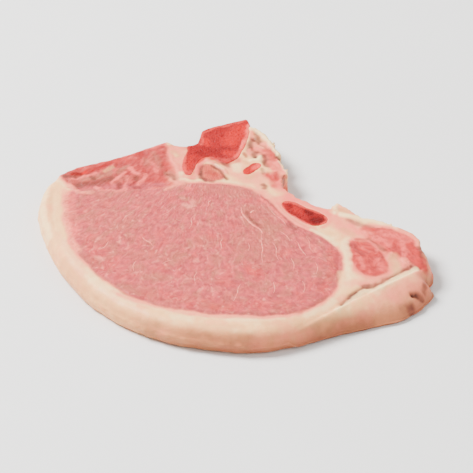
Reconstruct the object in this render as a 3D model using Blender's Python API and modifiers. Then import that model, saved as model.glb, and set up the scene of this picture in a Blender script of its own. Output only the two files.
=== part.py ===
"""Raw bone-in pork loin chop, about a centimetre thick, lying flat on its cut underside.

The chop is sawn straight through a loin, so every muscle, bone and band of fat runs from the
underside to the top face. One blank has the outer form of the whole slice, and each piece is the
blank inside that piece's own outline. The fat is what is left of the blank between them.

Frame: X along the longest extent, from the fat edge to the belly tail. Y from the rounded fat
edge at the front to the backbone. Z up. The origin is at the middle of the underside.
Lengths are in millimetres until MM turns them into metres.
"""

import math

import bmesh
import bpy
from mathutils import Vector

MM = 0.001

# Driving dimensions
THICKNESS = 10.5  # from the underside to the top face
GAP = 0.3  # between neighbouring pieces
FAT_ROUNDING = 2.8  # edge radius along the outer fat
SAWN_ROUNDING = 0.5  # edge radius along the sawn back, the bones and the notch
TOP_GRID = 5.0  # spacing of the lines that let the top face swell and sink

# Relief of the top face
EYE_CROWN = 0.7  # how far the middle of the loin eye stands above its rim
EYE_CENTRE = (-12.0, -16.0)
EYE_REACH = 62.0  # distance from the middle where the crown ends
WAVE_HEIGHT = 0.22  # slow waves of soft meat
WAVE_LENGTH = 34.0
WAVE_SHIFT = 0.6  # radians

# The belly tail ends in a flap of outer fat that slopes down to the underside from a seam line
SEAM_START = (37.5, -49.0)
SEAM_END = (64.0, -28.0)
FLAP_SLOPE = 0.86  # fall for each millimetre past the seam
FLAP_SOFTNESS = 2.2  # how gradually the slope begins
FLAP_THINNEST = 2.6  # height left at the flap's edge

CURVE_STEPS = 4  # straight pieces between two outline points
SMOOTH = "AUTO"  # the outline runs smoothly through the point
CORNER = "VECTOR"  # the outline has a corner there

CUTTER_BELOW = 2.0  # how far a cutter reaches past the underside
CUTTER_ABOVE = 4.0  # and past the top face
RIM_SEGMENTS = 3  # steps in a rounded edge
MERGE = 0.01  # points closer than this are one
FLAT_ANGLE = 0.5  # degrees between faces that count as one
FACES_UP = 0.99  # upward part of a normal that counts as level
OUTER_FAT_FROM = 154.0  # where the outer fat begins, in degrees round the middle from +X
OUTER_FAT_TO = -14.0  # and where it ends

# Outer outline of the slice, clockwise from the back left corner
SLICE = [
    (-65.0, 32.0, CORNER), (-54.7, 36.7, SMOOTH), (-40.3, 43.4, SMOOTH), (-30.2, 49.2, SMOOTH),
    (-25.9, 52.0, CORNER), (-23.0, 49.7, SMOOTH), (-17.3, 49.0, SMOOTH), (-14.4, 50.6, CORNER),
    (-13.2, 57.9, CORNER), (-11.2, 59.6, SMOOTH), (-4.3, 63.2, SMOOTH), (2.9, 66.4, CORNER),
    (5.0, 61.7, SMOOTH), (7.2, 60.2, SMOOTH), (11.5, 54.2, SMOOTH), (13.7, 48.4, SMOOTH),
    (15.9, 43.6, CORNER), (14.8, 41.2, SMOOTH), (16.9, 36.2, SMOOTH), (18.7, 31.4, CORNER),
    (16.6, 27.4, SMOOTH), (17.6, 21.8, SMOOTH), (21.2, 16.8, SMOOTH), (26.0, 13.1, SMOOTH),
    (31.7, 9.5, SMOOTH), (34.2, 8.9, CORNER), (36.4, 12.4, CORNER), (40.3, 8.7, SMOOTH),
    (45.4, 3.8, SMOOTH), (51.8, 1.6, SMOOTH), (57.6, -2.2, SMOOTH), (64.1, -7.0, SMOOTH),
    (66.4, -13.5, SMOOTH), (69.2, -21.5, SMOOTH), (70.6, -29.0, SMOOTH), (67.2, -38.2, SMOOTH),
    (60.5, -45.8, SMOOTH), (49.7, -50.6, SMOOTH), (36.0, -56.0, SMOOTH), (20.5, -63.6, SMOOTH),
    (8.6, -66.3, SMOOTH), (-10.0, -64.4, SMOOTH), (-29.6, -56.8, SMOOTH), (-45.2, -44.8, SMOOTH),
    (-58.0, -27.2, SMOOTH), (-66.8, -6.0, SMOOTH), (-70.6, 14.5, SMOOTH), (-68.8, 25.4, SMOOTH),
]

# The round lean muscle that gives the chop its name
LOIN_EYE = [
    (-60.3, 19.4), (-43.9, 20.6), (-27.0, 21.8), (-18.7, 24.0), (-7.9, 24.4), (2.6, 22.4),
    (9.8, 16.6), (15.2, 7.6), (20.8, -0.6), (30.0, -7.8), (35.8, -14.6), (38.6, -23.0),
    (38.0, -33.5), (34.8, -43.0), (27.6, -51.2), (16.5, -55.8), (-4.3, -55.2), (-18.7, -52.2),
    (-29.0, -48.4), (-39.4, -40.6), (-48.0, -30.6), (-55.2, -19.2), (-59.4, -6.6), (-61.6, 6.5),
]

# The thinner muscle between the loin eye and the sawn back edge, open to that edge
CAP_MUSCLE = [
    (-64.0, 36.5), (-57.0, 41.5), (-43.0, 48.0), (-31.0, 54.0), (-27.0, 50.5), (-25.6, 42.0),
    (-24.4, 34.0), (-25.8, 25.8), (-36.0, 23.6), (-48.0, 22.9), (-57.5, 22.9), (-62.4, 27.6),
]

# The small oval muscle against the backbone
INNER_MUSCLE = [
    (-13.4, 36.6), (-10.6, 38.0), (-7.2, 35.9), (-4.6, 32.0), (-4.2, 28.2), (-7.4, 26.0),
    (-12.2, 26.4), (-14.4, 29.8),
]

# Two muscles of the belly tail
TAIL_MUSCLE_UPPER = [
    (46.4, -3.6), (51.8, -2.8), (58.0, -5.4), (62.8, -8.8), (64.8, -13.5), (66.6, -20.0),
    (66.8, -26.4), (61.4, -26.8), (59.0, -21.6), (55.6, -18.6), (53.0, -14.6), (49.2, -9.6),
]
TAIL_MUSCLE_LOWER = [
    (41.2, -11.0), (46.4, -11.0), (50.8, -15.4), (53.6, -20.9), (54.4, -28.4), (51.8, -32.0),
    (46.1, -31.0), (42.9, -27.2), (41.6, -20.0),
]

# The sawn backbone, open to the back edge, with one lobe that reaches down between the muscles
CHINE_BONE = [
    (-18.6, 53.0), (-16.6, 62.0), (-5.0, 67.5), (3.0, 70.5), (4.2, 60.0), (3.5, 52.0),
    (1.8, 45.4), (0.0, 40.4), (-3.4, 38.0), (-6.6, 39.2), (-10.6, 42.2), (-13.8, 39.6),
    (-15.6, 32.6), (-17.4, 29.6), (-19.2, 32.0), (-19.6, 40.0), (-18.4, 46.0),
]

# Gristle that covers the backbone on the right, open to the ragged right edge
GRISTLE = [
    (7.2, 66.0), (16.0, 58.0), (20.0, 42.0), (22.5, 32.0), (15.0, 26.0), (10.6, 30.4),
    (12.2, 36.0), (8.6, 41.0), (4.6, 44.8), (5.4, 52.0), (5.6, 59.0),
]

# A chip of red bone in the white fat beside the backbone
BONE_CHIP = [(2.4, 31.4), (4.0, 30.6), (7.4, 33.4), (9.0, 36.4), (7.6, 37.8), (4.2, 35.8)]

# The sawn end of the rib, at the bottom of the notch
RIB_BONE = [
    (16.8, 12.4), (19.6, 13.6), (25.4, 9.8), (31.2, 5.6), (33.4, 1.8), (30.9, -1.6),
    (27.0, -1.8), (21.6, 3.0), (17.6, 8.2),
]

# Each piece inside the fat: its outline, its colour in sRGB from 0 to 255, and its roughness
PIECES = {
    "loin_eye": (LOIN_EYE, (226, 163, 158), 0.35),
    "cap_muscle": (CAP_MUSCLE, (219, 146, 130), 0.35),
    "inner_muscle": (INNER_MUSCLE, (211, 138, 130), 0.35),
    "tail_muscle_upper": (TAIL_MUSCLE_UPPER, (222, 142, 130), 0.35),
    "tail_muscle_lower": (TAIL_MUSCLE_LOWER, (217, 132, 128), 0.35),
    "chine_bone": (CHINE_BONE, (224, 100, 94), 0.5),
    "bone_chip": (BONE_CHIP, (226, 96, 92), 0.5),
    "rib_bone": (RIB_BONE, (196, 74, 68), 0.5),
    "gristle": (GRISTLE, (238, 200, 184), 0.4),
}
FAT_COLOUR = (240, 218, 200)
FAT_ROUGHNESS = 0.38


def linear(value):
    """One sRGB channel, 0 to 255, as a linear colour value."""
    share = value / 255
    if share <= 0.04045:
        return share / 12.92
    return ((share + 0.055) / 1.055) ** 2.4


def make_material(name, colour, roughness):
    material = bpy.data.materials.new(name)
    material.use_nodes = True
    shader = material.node_tree.nodes["Principled BSDF"]
    shader.inputs["Base Color"].default_value = (*map(linear, colour), 1)
    shader.inputs["Roughness"].default_value = roughness
    shader.inputs["Metallic"].default_value = 0.0
    return material


def clear_scene():
    for obj in list(bpy.data.objects):
        bpy.data.objects.remove(obj, do_unlink=True)


def make_collection(name):
    collection = bpy.data.collections.new(name)
    bpy.context.scene.collection.children.link(collection)
    return collection


def make_prism(name, points, collection, low, high, grow=0.0):
    """A flat outline filled and extruded from low to high, as a closed mesh."""
    curve = bpy.data.curves.new(name, "CURVE")
    curve.dimensions = "2D"
    curve.fill_mode = "BOTH"
    curve.extrude = (high - low) / 2 * MM
    curve.offset = grow * MM
    curve.resolution_u = CURVE_STEPS
    spline = curve.splines.new("BEZIER")
    spline.bezier_points.add(len(points) - 1)
    spline.use_cyclic_u = True
    for bezier, (x, y, *handle) in zip(spline.bezier_points, points):
        bezier.co = (x * MM, y * MM, 0)
        bezier.handle_left_type = bezier.handle_right_type = handle[0] if handle else SMOOTH
    outline = bpy.data.objects.new(name + "_outline", curve)
    outline.location.z = (low + high) / 2 * MM
    collection.objects.link(outline)
    bpy.context.view_layer.update()
    evaluated = outline.evaluated_get(bpy.context.evaluated_depsgraph_get())
    mesh = bpy.data.meshes.new_from_object(evaluated)
    prism = bpy.data.objects.new(name, mesh)
    prism.matrix_world = outline.matrix_world
    collection.objects.link(prism)
    bpy.data.objects.remove(outline, do_unlink=True)
    prism.data.transform(prism.matrix_world)
    prism.matrix_world.identity()

    work = bmesh.new()
    work.from_mesh(mesh)
    bmesh.ops.remove_doubles(work, verts=work.verts, dist=MERGE * MM)
    bmesh.ops.recalc_face_normals(work, faces=work.faces)
    work.to_mesh(mesh)
    work.free()
    return prism


def hide_as_guide(obj):
    obj.hide_render = True
    obj.display_type = "WIRE"


def along_outer_fat(point):
    """True where the outer edge is rounded fat, from the back left corner round to the tail."""
    angle = math.atan2(point.y, point.x)
    return angle > math.radians(OUTER_FAT_FROM) or angle < math.radians(OUTER_FAT_TO)


def round_edges(blank):
    """Round the rim generously along the fat and barely where the saw went through."""
    work = bmesh.new()
    work.from_mesh(blank.data)
    bmesh.ops.dissolve_limit(
        work, angle_limit=math.radians(FLAT_ANGLE), verts=work.verts, edges=work.edges
    )
    weight = work.edges.layers.float.new("bevel_weight_edge")
    for edge in work.edges:
        lies_flat = abs(edge.verts[0].co.z - edge.verts[1].co.z) < MERGE * MM
        if lies_flat:
            middle = (edge.verts[0].co + edge.verts[1].co) / 2
            edge[weight] = 1.0 if along_outer_fat(middle) else SAWN_ROUNDING / FAT_ROUNDING
    work.to_mesh(blank.data)
    work.free()
    bevel = blank.modifiers.new("rounded_rim", "BEVEL")
    bevel.limit_method = "WEIGHT"
    bevel.width = FAT_ROUNDING * MM
    bevel.segments = RIM_SEGMENTS
    bevel.use_clamp_overlap = False
    bpy.context.view_layer.update()
    evaluated = blank.evaluated_get(bpy.context.evaluated_depsgraph_get())
    rounded = bpy.data.meshes.new_from_object(evaluated)
    blank.modifiers.clear()
    blank.data = rounded


def cut_top_grid(work):
    """Lines across the top face, so that it can follow the relief."""
    for axis in (0, 1):
        normal = Vector((1 - axis, axis, 0))
        reach = max(abs(vert.co[axis]) for vert in work.verts)
        lines = int(reach / (TOP_GRID * MM))
        for line in range(-lines, lines + 1):
            top = [face for face in work.faces if face.normal.z > FACES_UP]
            edges = {edge for face in top for edge in face.edges}
            verts = {vert for face in top for vert in face.verts}
            bmesh.ops.bisect_plane(
                work,
                geom=top + list(edges) + list(verts),
                dist=MERGE * MM,
                plane_co=normal * line * TOP_GRID * MM,
                plane_no=normal,
            )


def top_height(x, y):
    """Height of the top face above the underside at a place given in millimetres."""
    distance = math.hypot(x - EYE_CENTRE[0], y - EYE_CENTRE[1]) / EYE_REACH
    crown = EYE_CROWN * max(0.0, 1 - distance * distance) ** 2
    waves = math.sin(x / WAVE_LENGTH * math.tau + WAVE_SHIFT) * math.sin(y / WAVE_LENGTH * math.tau)
    level = THICKNESS - EYE_CROWN + crown + WAVE_HEIGHT * waves

    along = Vector(SEAM_END) - Vector(SEAM_START)
    outward = Vector((along.y, -along.x)).normalized()
    past_seam = (Vector((x, y)) - Vector(SEAM_START)).dot(outward)
    slope = FLAP_SOFTNESS * math.log1p(math.exp(past_seam / FLAP_SOFTNESS))
    return max(FLAP_THINNEST, level - FLAP_SLOPE * slope)


def shape_blank(guides):
    """The whole slice as one closed solid."""
    blank = make_prism("slice_blank", SLICE, guides, 0, THICKNESS)
    round_edges(blank)
    work = bmesh.new()
    work.from_mesh(blank.data)
    cut_top_grid(work)
    for vert in work.verts:
        vert.co.z *= top_height(vert.co.x / MM, vert.co.y / MM) / THICKNESS
    bmesh.ops.triangulate(work, faces=work.faces)
    work.to_mesh(blank.data)
    work.free()
    hide_as_guide(blank)
    return blank


def make_cutter(name, points, guides, grow):
    """An outline, a little larger or smaller, as a cutter that passes right through the slice."""
    cutter = make_prism(name, points, guides, -CUTTER_BELOW, THICKNESS + CUTTER_ABOVE, grow=grow)
    hide_as_guide(cutter)
    return cutter


def copy_blank(name, blank, collection, material):
    piece = bpy.data.objects.new(name, blank.data.copy())
    piece.data.materials.clear()
    piece.data.materials.append(material)
    collection.objects.link(piece)
    return piece


def make_piece(name, blank, guides, collection):
    """The blank inside the piece's own outline."""
    points, colour, roughness = PIECES[name]
    region = make_cutter(name + "_region", points, guides, -GAP / 2)
    piece = copy_blank(name, blank, collection, make_material(name, colour, roughness))
    inside = piece.modifiers.new("inside_region", "BOOLEAN")
    inside.operation = "INTERSECT"
    inside.solver = "EXACT"
    inside.object = region


def make_fat(blank, guides, collection):
    """What is left of the slice round every muscle and bone."""
    room = bpy.data.collections.new("fat_cutters")
    guides.children.link(room)
    for name, (points, _, _) in PIECES.items():
        make_cutter(name + "_room", points, room, GAP / 2)
    fat = copy_blank("fat_cap", blank, collection, make_material("fat_cap", FAT_COLOUR, FAT_ROUGHNESS))
    around = fat.modifiers.new("around_pieces", "BOOLEAN")
    around.operation = "DIFFERENCE"
    around.solver = "EXACT"
    around.operand_type = "COLLECTION"
    around.collection = room


def main():
    clear_scene()
    chop = make_collection("raw_pork_chop")
    guides = make_collection("cutters")
    blank = shape_blank(guides)
    for name in PIECES:
        make_piece(name, blank, guides, chop)
    make_fat(blank, guides, chop)


main()
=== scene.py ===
"""Looks of a raw bone-in pork chop that lies flat on its cut underside.

One closed skin makes the lean, fat and gristle, because they are grown together. The three sawn
bones are plugs set through it, pale marbling threads lie in the loin eye, and ragged bits of fat
stand along the sawn edges. Shapes are worked out in millimetres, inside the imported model's own
outlines, and become metres at the end.
"""

import math
from typing import NamedTuple

import bmesh
import bpy
import numpy as np
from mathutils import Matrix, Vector, noise
from mathutils.geometry import delaunay_2d_cdt
from mathutils.kdtree import KDTree


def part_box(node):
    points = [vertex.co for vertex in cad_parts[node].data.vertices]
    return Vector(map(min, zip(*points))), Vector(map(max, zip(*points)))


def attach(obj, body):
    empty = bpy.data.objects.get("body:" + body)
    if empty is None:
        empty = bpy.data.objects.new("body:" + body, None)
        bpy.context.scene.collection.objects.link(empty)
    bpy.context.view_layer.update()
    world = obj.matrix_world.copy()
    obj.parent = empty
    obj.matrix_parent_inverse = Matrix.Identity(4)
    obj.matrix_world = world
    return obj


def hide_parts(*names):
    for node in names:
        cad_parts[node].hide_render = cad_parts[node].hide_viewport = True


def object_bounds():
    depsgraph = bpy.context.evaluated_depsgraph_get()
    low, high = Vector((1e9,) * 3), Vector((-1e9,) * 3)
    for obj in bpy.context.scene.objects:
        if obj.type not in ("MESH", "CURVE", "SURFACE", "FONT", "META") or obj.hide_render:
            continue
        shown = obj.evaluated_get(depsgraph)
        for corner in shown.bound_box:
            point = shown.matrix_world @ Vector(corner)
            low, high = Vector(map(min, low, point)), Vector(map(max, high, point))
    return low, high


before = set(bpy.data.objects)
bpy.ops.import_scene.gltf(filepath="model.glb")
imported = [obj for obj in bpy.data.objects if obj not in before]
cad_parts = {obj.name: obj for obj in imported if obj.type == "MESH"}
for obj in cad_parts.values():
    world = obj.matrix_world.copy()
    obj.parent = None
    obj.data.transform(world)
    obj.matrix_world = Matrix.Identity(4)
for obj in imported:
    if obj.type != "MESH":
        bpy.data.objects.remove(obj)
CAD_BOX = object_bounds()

bl_info = {
    "name": "Raw Pork Chop",
    "version": (1, 0, 0),
    "blender": (4, 5, 0),
    "location": "View3D > Sidebar > Chop",
    "description": "Builds the finished surfaces of a raw bone-in pork loin chop",
    "category": "Object",
}

MM = 0.001
BODY = "root"
MUSCLES = ("loin_eye", "cap_muscle", "inner_muscle", "tail_muscle_upper", "tail_muscle_lower")
BONES = ("chine_bone", "bone_chip", "rib_bone")
FLESH_NODES = (*MUSCLES, "gristle", "fat_cap")

# Outer outline of the slice in millimetres, clockwise from the back left corner. True marks a corner.
SLICE = [
    (-65.0, 32.0, True), (-54.7, 36.7, False), (-40.3, 43.4, False), (-30.2, 49.2, False),
    (-25.9, 52.0, True), (-23.0, 49.7, False), (-17.3, 49.0, False), (-14.4, 50.6, True),
    (-13.2, 57.9, True), (-11.2, 59.6, False), (-4.3, 63.2, False), (2.9, 66.4, True),
    (5.0, 61.7, False), (7.2, 60.2, False), (11.5, 54.2, False), (13.7, 48.4, False),
    (15.9, 43.6, True), (14.8, 41.2, False), (16.9, 36.2, False), (18.7, 31.4, True),
    (16.6, 27.4, False), (17.6, 21.8, False), (21.2, 16.8, False), (26.0, 13.1, False),
    (31.7, 9.5, False), (34.2, 8.9, True), (36.4, 12.4, True), (40.3, 8.7, False),
    (45.4, 3.8, False), (51.8, 1.6, False), (57.6, -2.2, False), (64.1, -7.0, False),
    (66.4, -13.5, False), (69.2, -20.4, False), (69.9, -25.4, False), (68.1, -29.2, True),
    (70.2, -32.0, False), (67.6, -38.2, False),
    (60.5, -45.8, False), (49.7, -50.6, False), (36.0, -56.0, False), (20.5, -63.6, False),
    (8.6, -66.3, False), (-10.0, -64.4, False), (-29.6, -56.8, False), (-45.2, -44.8, False),
    (-58.0, -27.2, False), (-66.8, -6.0, False), (-70.6, 14.5, False), (-68.8, 25.4, False),
]

# Height of the top face
LEVEL = CAD_BOX[1][2] / MM - 0.9
EYE_CROWN = 0.7
EYE_CENTRE = (-12.0, -16.0)
EYE_REACH = 62.0
WAVE_HEIGHT = 0.22
WAVE_LENGTH = 34.0

# The outer fat flap slopes down from a seam across the belly tail
SEAM_START = (36.5, -50.0)
SEAM_END = (64.5, -27.4)
FLAP_SLOPE = 0.86
FLAP_SOFTNESS = 2.2
FLAP_THINNEST = 2.6

GRAIN_CENTRE = (-8.0, 58.0)  # the loin's grain fans out from the backbone
FAN_REACH = 70.0  # distance from there at which the strands have their true width
CAP_TURN = np.array([(0.82, 0.57), (-0.57, 0.82)])  # strands of the cap lie across its length
OUTER_FAT = (152.0, 346.0)  # the outer fat, in degrees round the middle from +X
SHARP_TURN = math.radians(28)  # more than this makes a corner in a bone's outline

HANDLE = 0.39  # a smooth curve's handles, as a share of the step between its points
CURVE_STEPS = 24  # from each of its points to the next
# How far in from a rim each row of points that follows it lies. The underside has every second row.
RIM_ROWS = (0.12, 0.32, 0.6, 0.95, 1.4, 1.9, 2.45, 3.0)
WALL_ROWS = 12
TOP_SHARE, UNDER_SHARE = 0.45, 0.3  # the most of the height that each rounded edge takes up
UNDER_SAWN, UNDER_FAT = 0.35, 2.3  # underside's edge radius, and what the outer fat adds to it

BONE_SPACING, BONE_UNDER_SPACING = 0.42, 1.0
BONE_ROUNDING, BONE_UNDER_ROUNDING = 0.4, 0.2
BONE_CLEARANCE = 0.04  # the bones stand this far off what the chop lies on

# The unwrapped layout, in millimetres: the top, the wall in upright strips, and a smaller underside
SHEET = 200.0
CHOP_LENGTH = 141.0
MARGIN = 2.0
STRIPS = 3
STRIP_LEFT, STRIP_WIDTH = 150.0, 12.0
UNDER_SCALE = 0.45
UNDER_CORNER = (66.0, 138.0)


def linear(red, green, blue):
    """An sRGB colour, 0 to 255, as linear values."""
    shares = np.array([red, green, blue]) / 255
    return tuple(np.where(shares <= 0.04045, shares / 12.92, ((shares + 0.055) / 1.055) ** 2.4))


def length(name, description, default_mm):
    return bpy.props.FloatProperty(
        name=name, description=description, default=default_mm * MM, min=0.0, unit="LENGTH", precision=5
    )


def colour(name, description, red, green, blue):
    return bpy.props.FloatVectorProperty(
        name=name, description=description, default=linear(red, green, blue),
        subtype="COLOR", size=3, min=0.0, max=1.0,
    )


class ChopSizes(bpy.types.PropertyGroup):
    top_spacing: length("Top spacing", "Distance between points on the top face", 0.46)
    under_spacing: length("Underside spacing", "Distance between points on the underside", 1.05)
    fat_rounding: length("Fat rounding", "Edge radius along the outer fat", 4.0)
    sawn_rounding: length("Sawn rounding", "Edge radius along the sawn back and bones", 0.5)
    fat_bulge: length("Fat bulge", "How far the outer fat swells at half height", 0.5)
    grain_width: length("Grain width", "Width of one strand of the loin's grain", 1.15)
    grain_relief: length("Grain relief", "Height of the loin's grain", 0.07)
    strand_relief: length("Strand relief", "Height of the coarse strands beside the back edge", 0.28)
    bone_lift: length("Bone lift", "How far sawn bone stands above the flesh", 0.12)


class ChopColours(bpy.types.PropertyGroup):
    lean: colour("Lean", "Loin eye", 182, 72, 74)
    lean_deep: colour("Deep lean", "Dark strands of the lean", 127, 47, 47)
    lean_pale: colour("Pale lean", "Light strands of the lean", 238, 98, 88)
    marbling: colour("Marbling", "Flecks of fat in the lean", 236, 132, 112)
    # Also painted shade in the soft band along the tail's seam
    lean_tan_and_shade: colour("Tan lean", "Drier greyish lean", 164, 91, 72)
    cap: colour("Cap lean", "Coarse muscle beside the back edge", 170, 55, 52)
    tail: colour("Tail lean", "Muscles of the belly tail", 184, 54, 49)
    blood_deep: colour("Deep blood", "Darkest stain on the back edge", 106, 20, 13)
    # Also painted shade in grooves and beside raised ridges
    brown_tissue_and_shade: colour("Brown", "Browned tissue beside seams", 104, 52, 42)
    # Painted shade in recessed pits, over their own dark tissue
    pit: colour("Pit", "Dark pits", 60, 28, 20)
    gristle: colour("Gristle", "Pale tissue beside the backbone", 240, 128, 98)
    fat: colour("Fat", "Cut fat", 246, 180, 116)
    # Also a painted highlight along the rounded left edge of the outer fat
    fat_white_and_highlight: colour("White fat", "Brightest fat along edges and seams", 254, 214, 150)
    fat_tan: colour("Tan fat", "Yellowish fat", 212, 138, 90)
    fat_pink: colour("Pink fat", "Fat with a little blood in it", 240, 124, 98)
    # Partly the outer fat's own tan, partly painted shade for the front of the fat, which faces away from
    # the light
    fat_side_tan_and_shade: colour("Outer fat", "Outer side of the fat", 206, 126, 84)
    # Also painted shade: with it the front of the outer fat is laid darker and browner towards the bottom
    fat_stain_and_shade: colour("Fat stain", "Brown patches low on the outer side", 138, 78, 52)
    # Painted shadow in the groove of the tail's seam
    seam: colour("Seam", "Tissue inside the seam of the tail", 96, 52, 44)
    bone: colour("Bone", "Red sawn bone", 146, 18, 20)
    bone_bright: colour("Bright bone", "Brightest red of the sawn bone", 188, 21, 18)
    bone_deep: colour("Deep bone", "Darkest part of the sawn bone", 99, 11, 13)
    bone_rim: colour("Bone rim", "Hard pale rim round the sawn bone", 222, 68, 58)
    marrow: colour("Marrow", "Dark red marrow of the rib", 127, 13, 13)
    marrow_deep: colour("Deep marrow", "Darkest marrow", 86, 7, 7)
    floor: colour("Floor", "Floor", 226, 225, 223)


# ---------------------------------------------------------------- shapes

def smooth_step(low, high, values):
    share = np.clip((values - low) / (high - low), 0, 1)
    return share * share * (3 - 2 * share)


def noise_at(points, size, seed=0.0, octaves=1):
    """Smooth noise, about -1 to 1, whose lumps are about the given size across."""
    scaled = np.asarray(points, float) / size
    if scaled.shape[1] == 2:
        scaled = np.column_stack([scaled, np.full(len(scaled), seed)])
    else:
        scaled = scaled + (0, 0, seed)
    total = np.zeros(len(scaled))
    for octave in range(octaves):
        step = 2.0 ** octave
        total += np.array([noise.noise(point) for point in (scaled * step).tolist()]) / step
    return total


def resample(path, spacing, closed=True):
    """Evenly spaced points along a polyline."""
    path = np.asarray(path, float)
    if closed:
        path = np.vstack([path, path[:1]])
    run = np.concatenate([[0], np.cumsum(np.linalg.norm(np.diff(path, axis=0), axis=1))])
    count = max(8, round(run[-1] / spacing))
    at = np.linspace(0, run[-1], count, endpoint=not closed)
    return np.column_stack([np.interp(at, run, path[:, axis]) for axis in range(path.shape[1])])


def smooth_loop(points, corners, spacing):
    """A closed curve through the points, sharp at the corners, as evenly spaced points."""
    points = np.asarray(points, float)
    ahead = np.roll(points, -1, axis=0) - points
    reach = np.linalg.norm(ahead, axis=1, keepdims=True)
    leaving = ahead / reach
    arriving = np.roll(leaving, 1, axis=0)
    tangent = leaving + arriving
    tangent /= np.linalg.norm(tangent, axis=1, keepdims=True)
    sharp = np.asarray(corners, bool)[:, None]
    handle_out = np.where(sharp, leaving, tangent) * reach * HANDLE
    handle_in = np.roll(np.where(sharp, arriving, tangent), -1, axis=0) * reach * HANDLE
    share = np.linspace(0, 1, CURVE_STEPS, endpoint=False)[None, :, None]
    start = points[:, None]
    end = np.roll(points, -1, axis=0)[:, None]
    near = start + handle_out[:, None]
    far = end - handle_in[:, None]
    rest = 1 - share
    curve = rest**3 * start + 3 * rest**2 * share * near + 3 * rest * share**2 * far + share**3 * end
    return counter_clockwise(resample(curve.reshape(-1, 2), spacing))


def counter_clockwise(path):
    ahead = np.roll(path, -1, axis=0)
    area = np.sum(path[:, 0] * ahead[:, 1] - ahead[:, 0] * path[:, 1])
    return path if area > 0 else path[::-1].copy()


def outward_normals(path):
    along = np.roll(path, -1, axis=0) - np.roll(path, 1, axis=0)
    along /= np.linalg.norm(along, axis=1, keepdims=True)
    return np.column_stack([along[:, 1], -along[:, 0]])


def nearest_of(points, targets):
    """For each point, the index of the nearest target and the distance to it."""
    tree = KDTree(len(targets))
    for index, target in enumerate(targets.tolist()):
        tree.insert((*target, 0.0), index)
    tree.balance()
    found = [tree.find((*point, 0.0))[1:] for point in points.tolist()]
    return np.array([index for index, _ in found]), np.array([gap for _, gap in found])


def gap_to_piece(points, start, end):
    """Distance from each point to its own straight piece."""
    along = end - start
    offset = points - start
    share = np.clip((offset * along).sum(1) / np.maximum((along**2).sum(-1), 1e-12), 0, 1)
    return np.linalg.norm(offset - share[:, None] * along, axis=1)


def distance_to_rim(points, rim):
    """Distance from each point to a closed rim of close points, and the nearest of those."""
    nearest, _ = nearest_of(points, rim)
    ahead = rim[(nearest + 1) % len(rim)]
    behind = rim[nearest - 1]
    at = rim[nearest]
    return np.minimum(gap_to_piece(points, at, ahead), gap_to_piece(points, behind, at)), nearest


def distance_to_path(points, path):
    """Distance from each point to an open line of a few points."""
    path = np.asarray(path, float)
    gaps = [gap_to_piece(points, start, end) for start, end in zip(path[:-1], path[1:])]
    return np.min(gaps, axis=0)


def is_inside(points, path):
    inside = np.zeros(len(points), bool)
    ahead = np.roll(path, -1, axis=0)
    x, y = points[:, 0], points[:, 1]
    for (x0, y0), (x1, y1) in zip(path, ahead):
        if y0 == y1:
            continue
        crosses = (y0 > y) != (y1 > y)
        inside ^= crosses & (x < (x1 - x0) * (y - y0) / (y1 - y0) + x0)
    return inside


def cad_outline(node):
    """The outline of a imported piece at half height, in millimetres, from its leftmost point."""
    low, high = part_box(node)
    work = bmesh.new()
    work.from_mesh(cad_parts[node].data)
    bmesh.ops.remove_doubles(work, verts=work.verts, dist=0.00001)
    cut = bmesh.ops.bisect_plane(
        work, geom=[*work.verts, *work.edges, *work.faces], dist=1e-7,
        plane_co=(low + high) / 2, plane_no=(0, 0, 1),
    )
    edges = {item for item in cut["geom_cut"] if isinstance(item, bmesh.types.BMEdge)}
    edge = edges.pop()
    first, current = edge.verts
    outline = [first.co.xy / MM]
    while current is not first:
        outline.append(current.co.xy / MM)
        edge = next(other for other in current.link_edges if other in edges)
        edges.discard(edge)
        current = edge.other_vert(current)
    work.free()
    outline = counter_clockwise(np.array(outline))
    return np.roll(outline, -np.lexsort(outline.T[::-1])[0], axis=0)


def past_seam(points):
    """How far each point lies beyond the seam, towards the flap of outer fat."""
    along = np.subtract(SEAM_END, SEAM_START)
    outward = np.array([along[1], -along[0]]) / np.linalg.norm(along)
    return (points - SEAM_START) @ outward


def top_height(points):
    """Height of the top face in millimetres, before its fine relief."""
    x, y = points[:, 0], points[:, 1]
    share = np.hypot(x - EYE_CENTRE[0], y - EYE_CENTRE[1]) / EYE_REACH
    crown = EYE_CROWN * np.maximum(0, 1 - share**2) ** 2
    waves = np.sin(x / WAVE_LENGTH * math.tau + 0.6) * np.sin(y / WAVE_LENGTH * math.tau)
    slope = FLAP_SOFTNESS * np.log1p(np.exp(np.minimum(past_seam(points) / FLAP_SOFTNESS, 30)))
    return np.maximum(FLAP_THINNEST, LEVEL + crown + WAVE_HEIGHT * waves - FLAP_SLOPE * slope)


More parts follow.
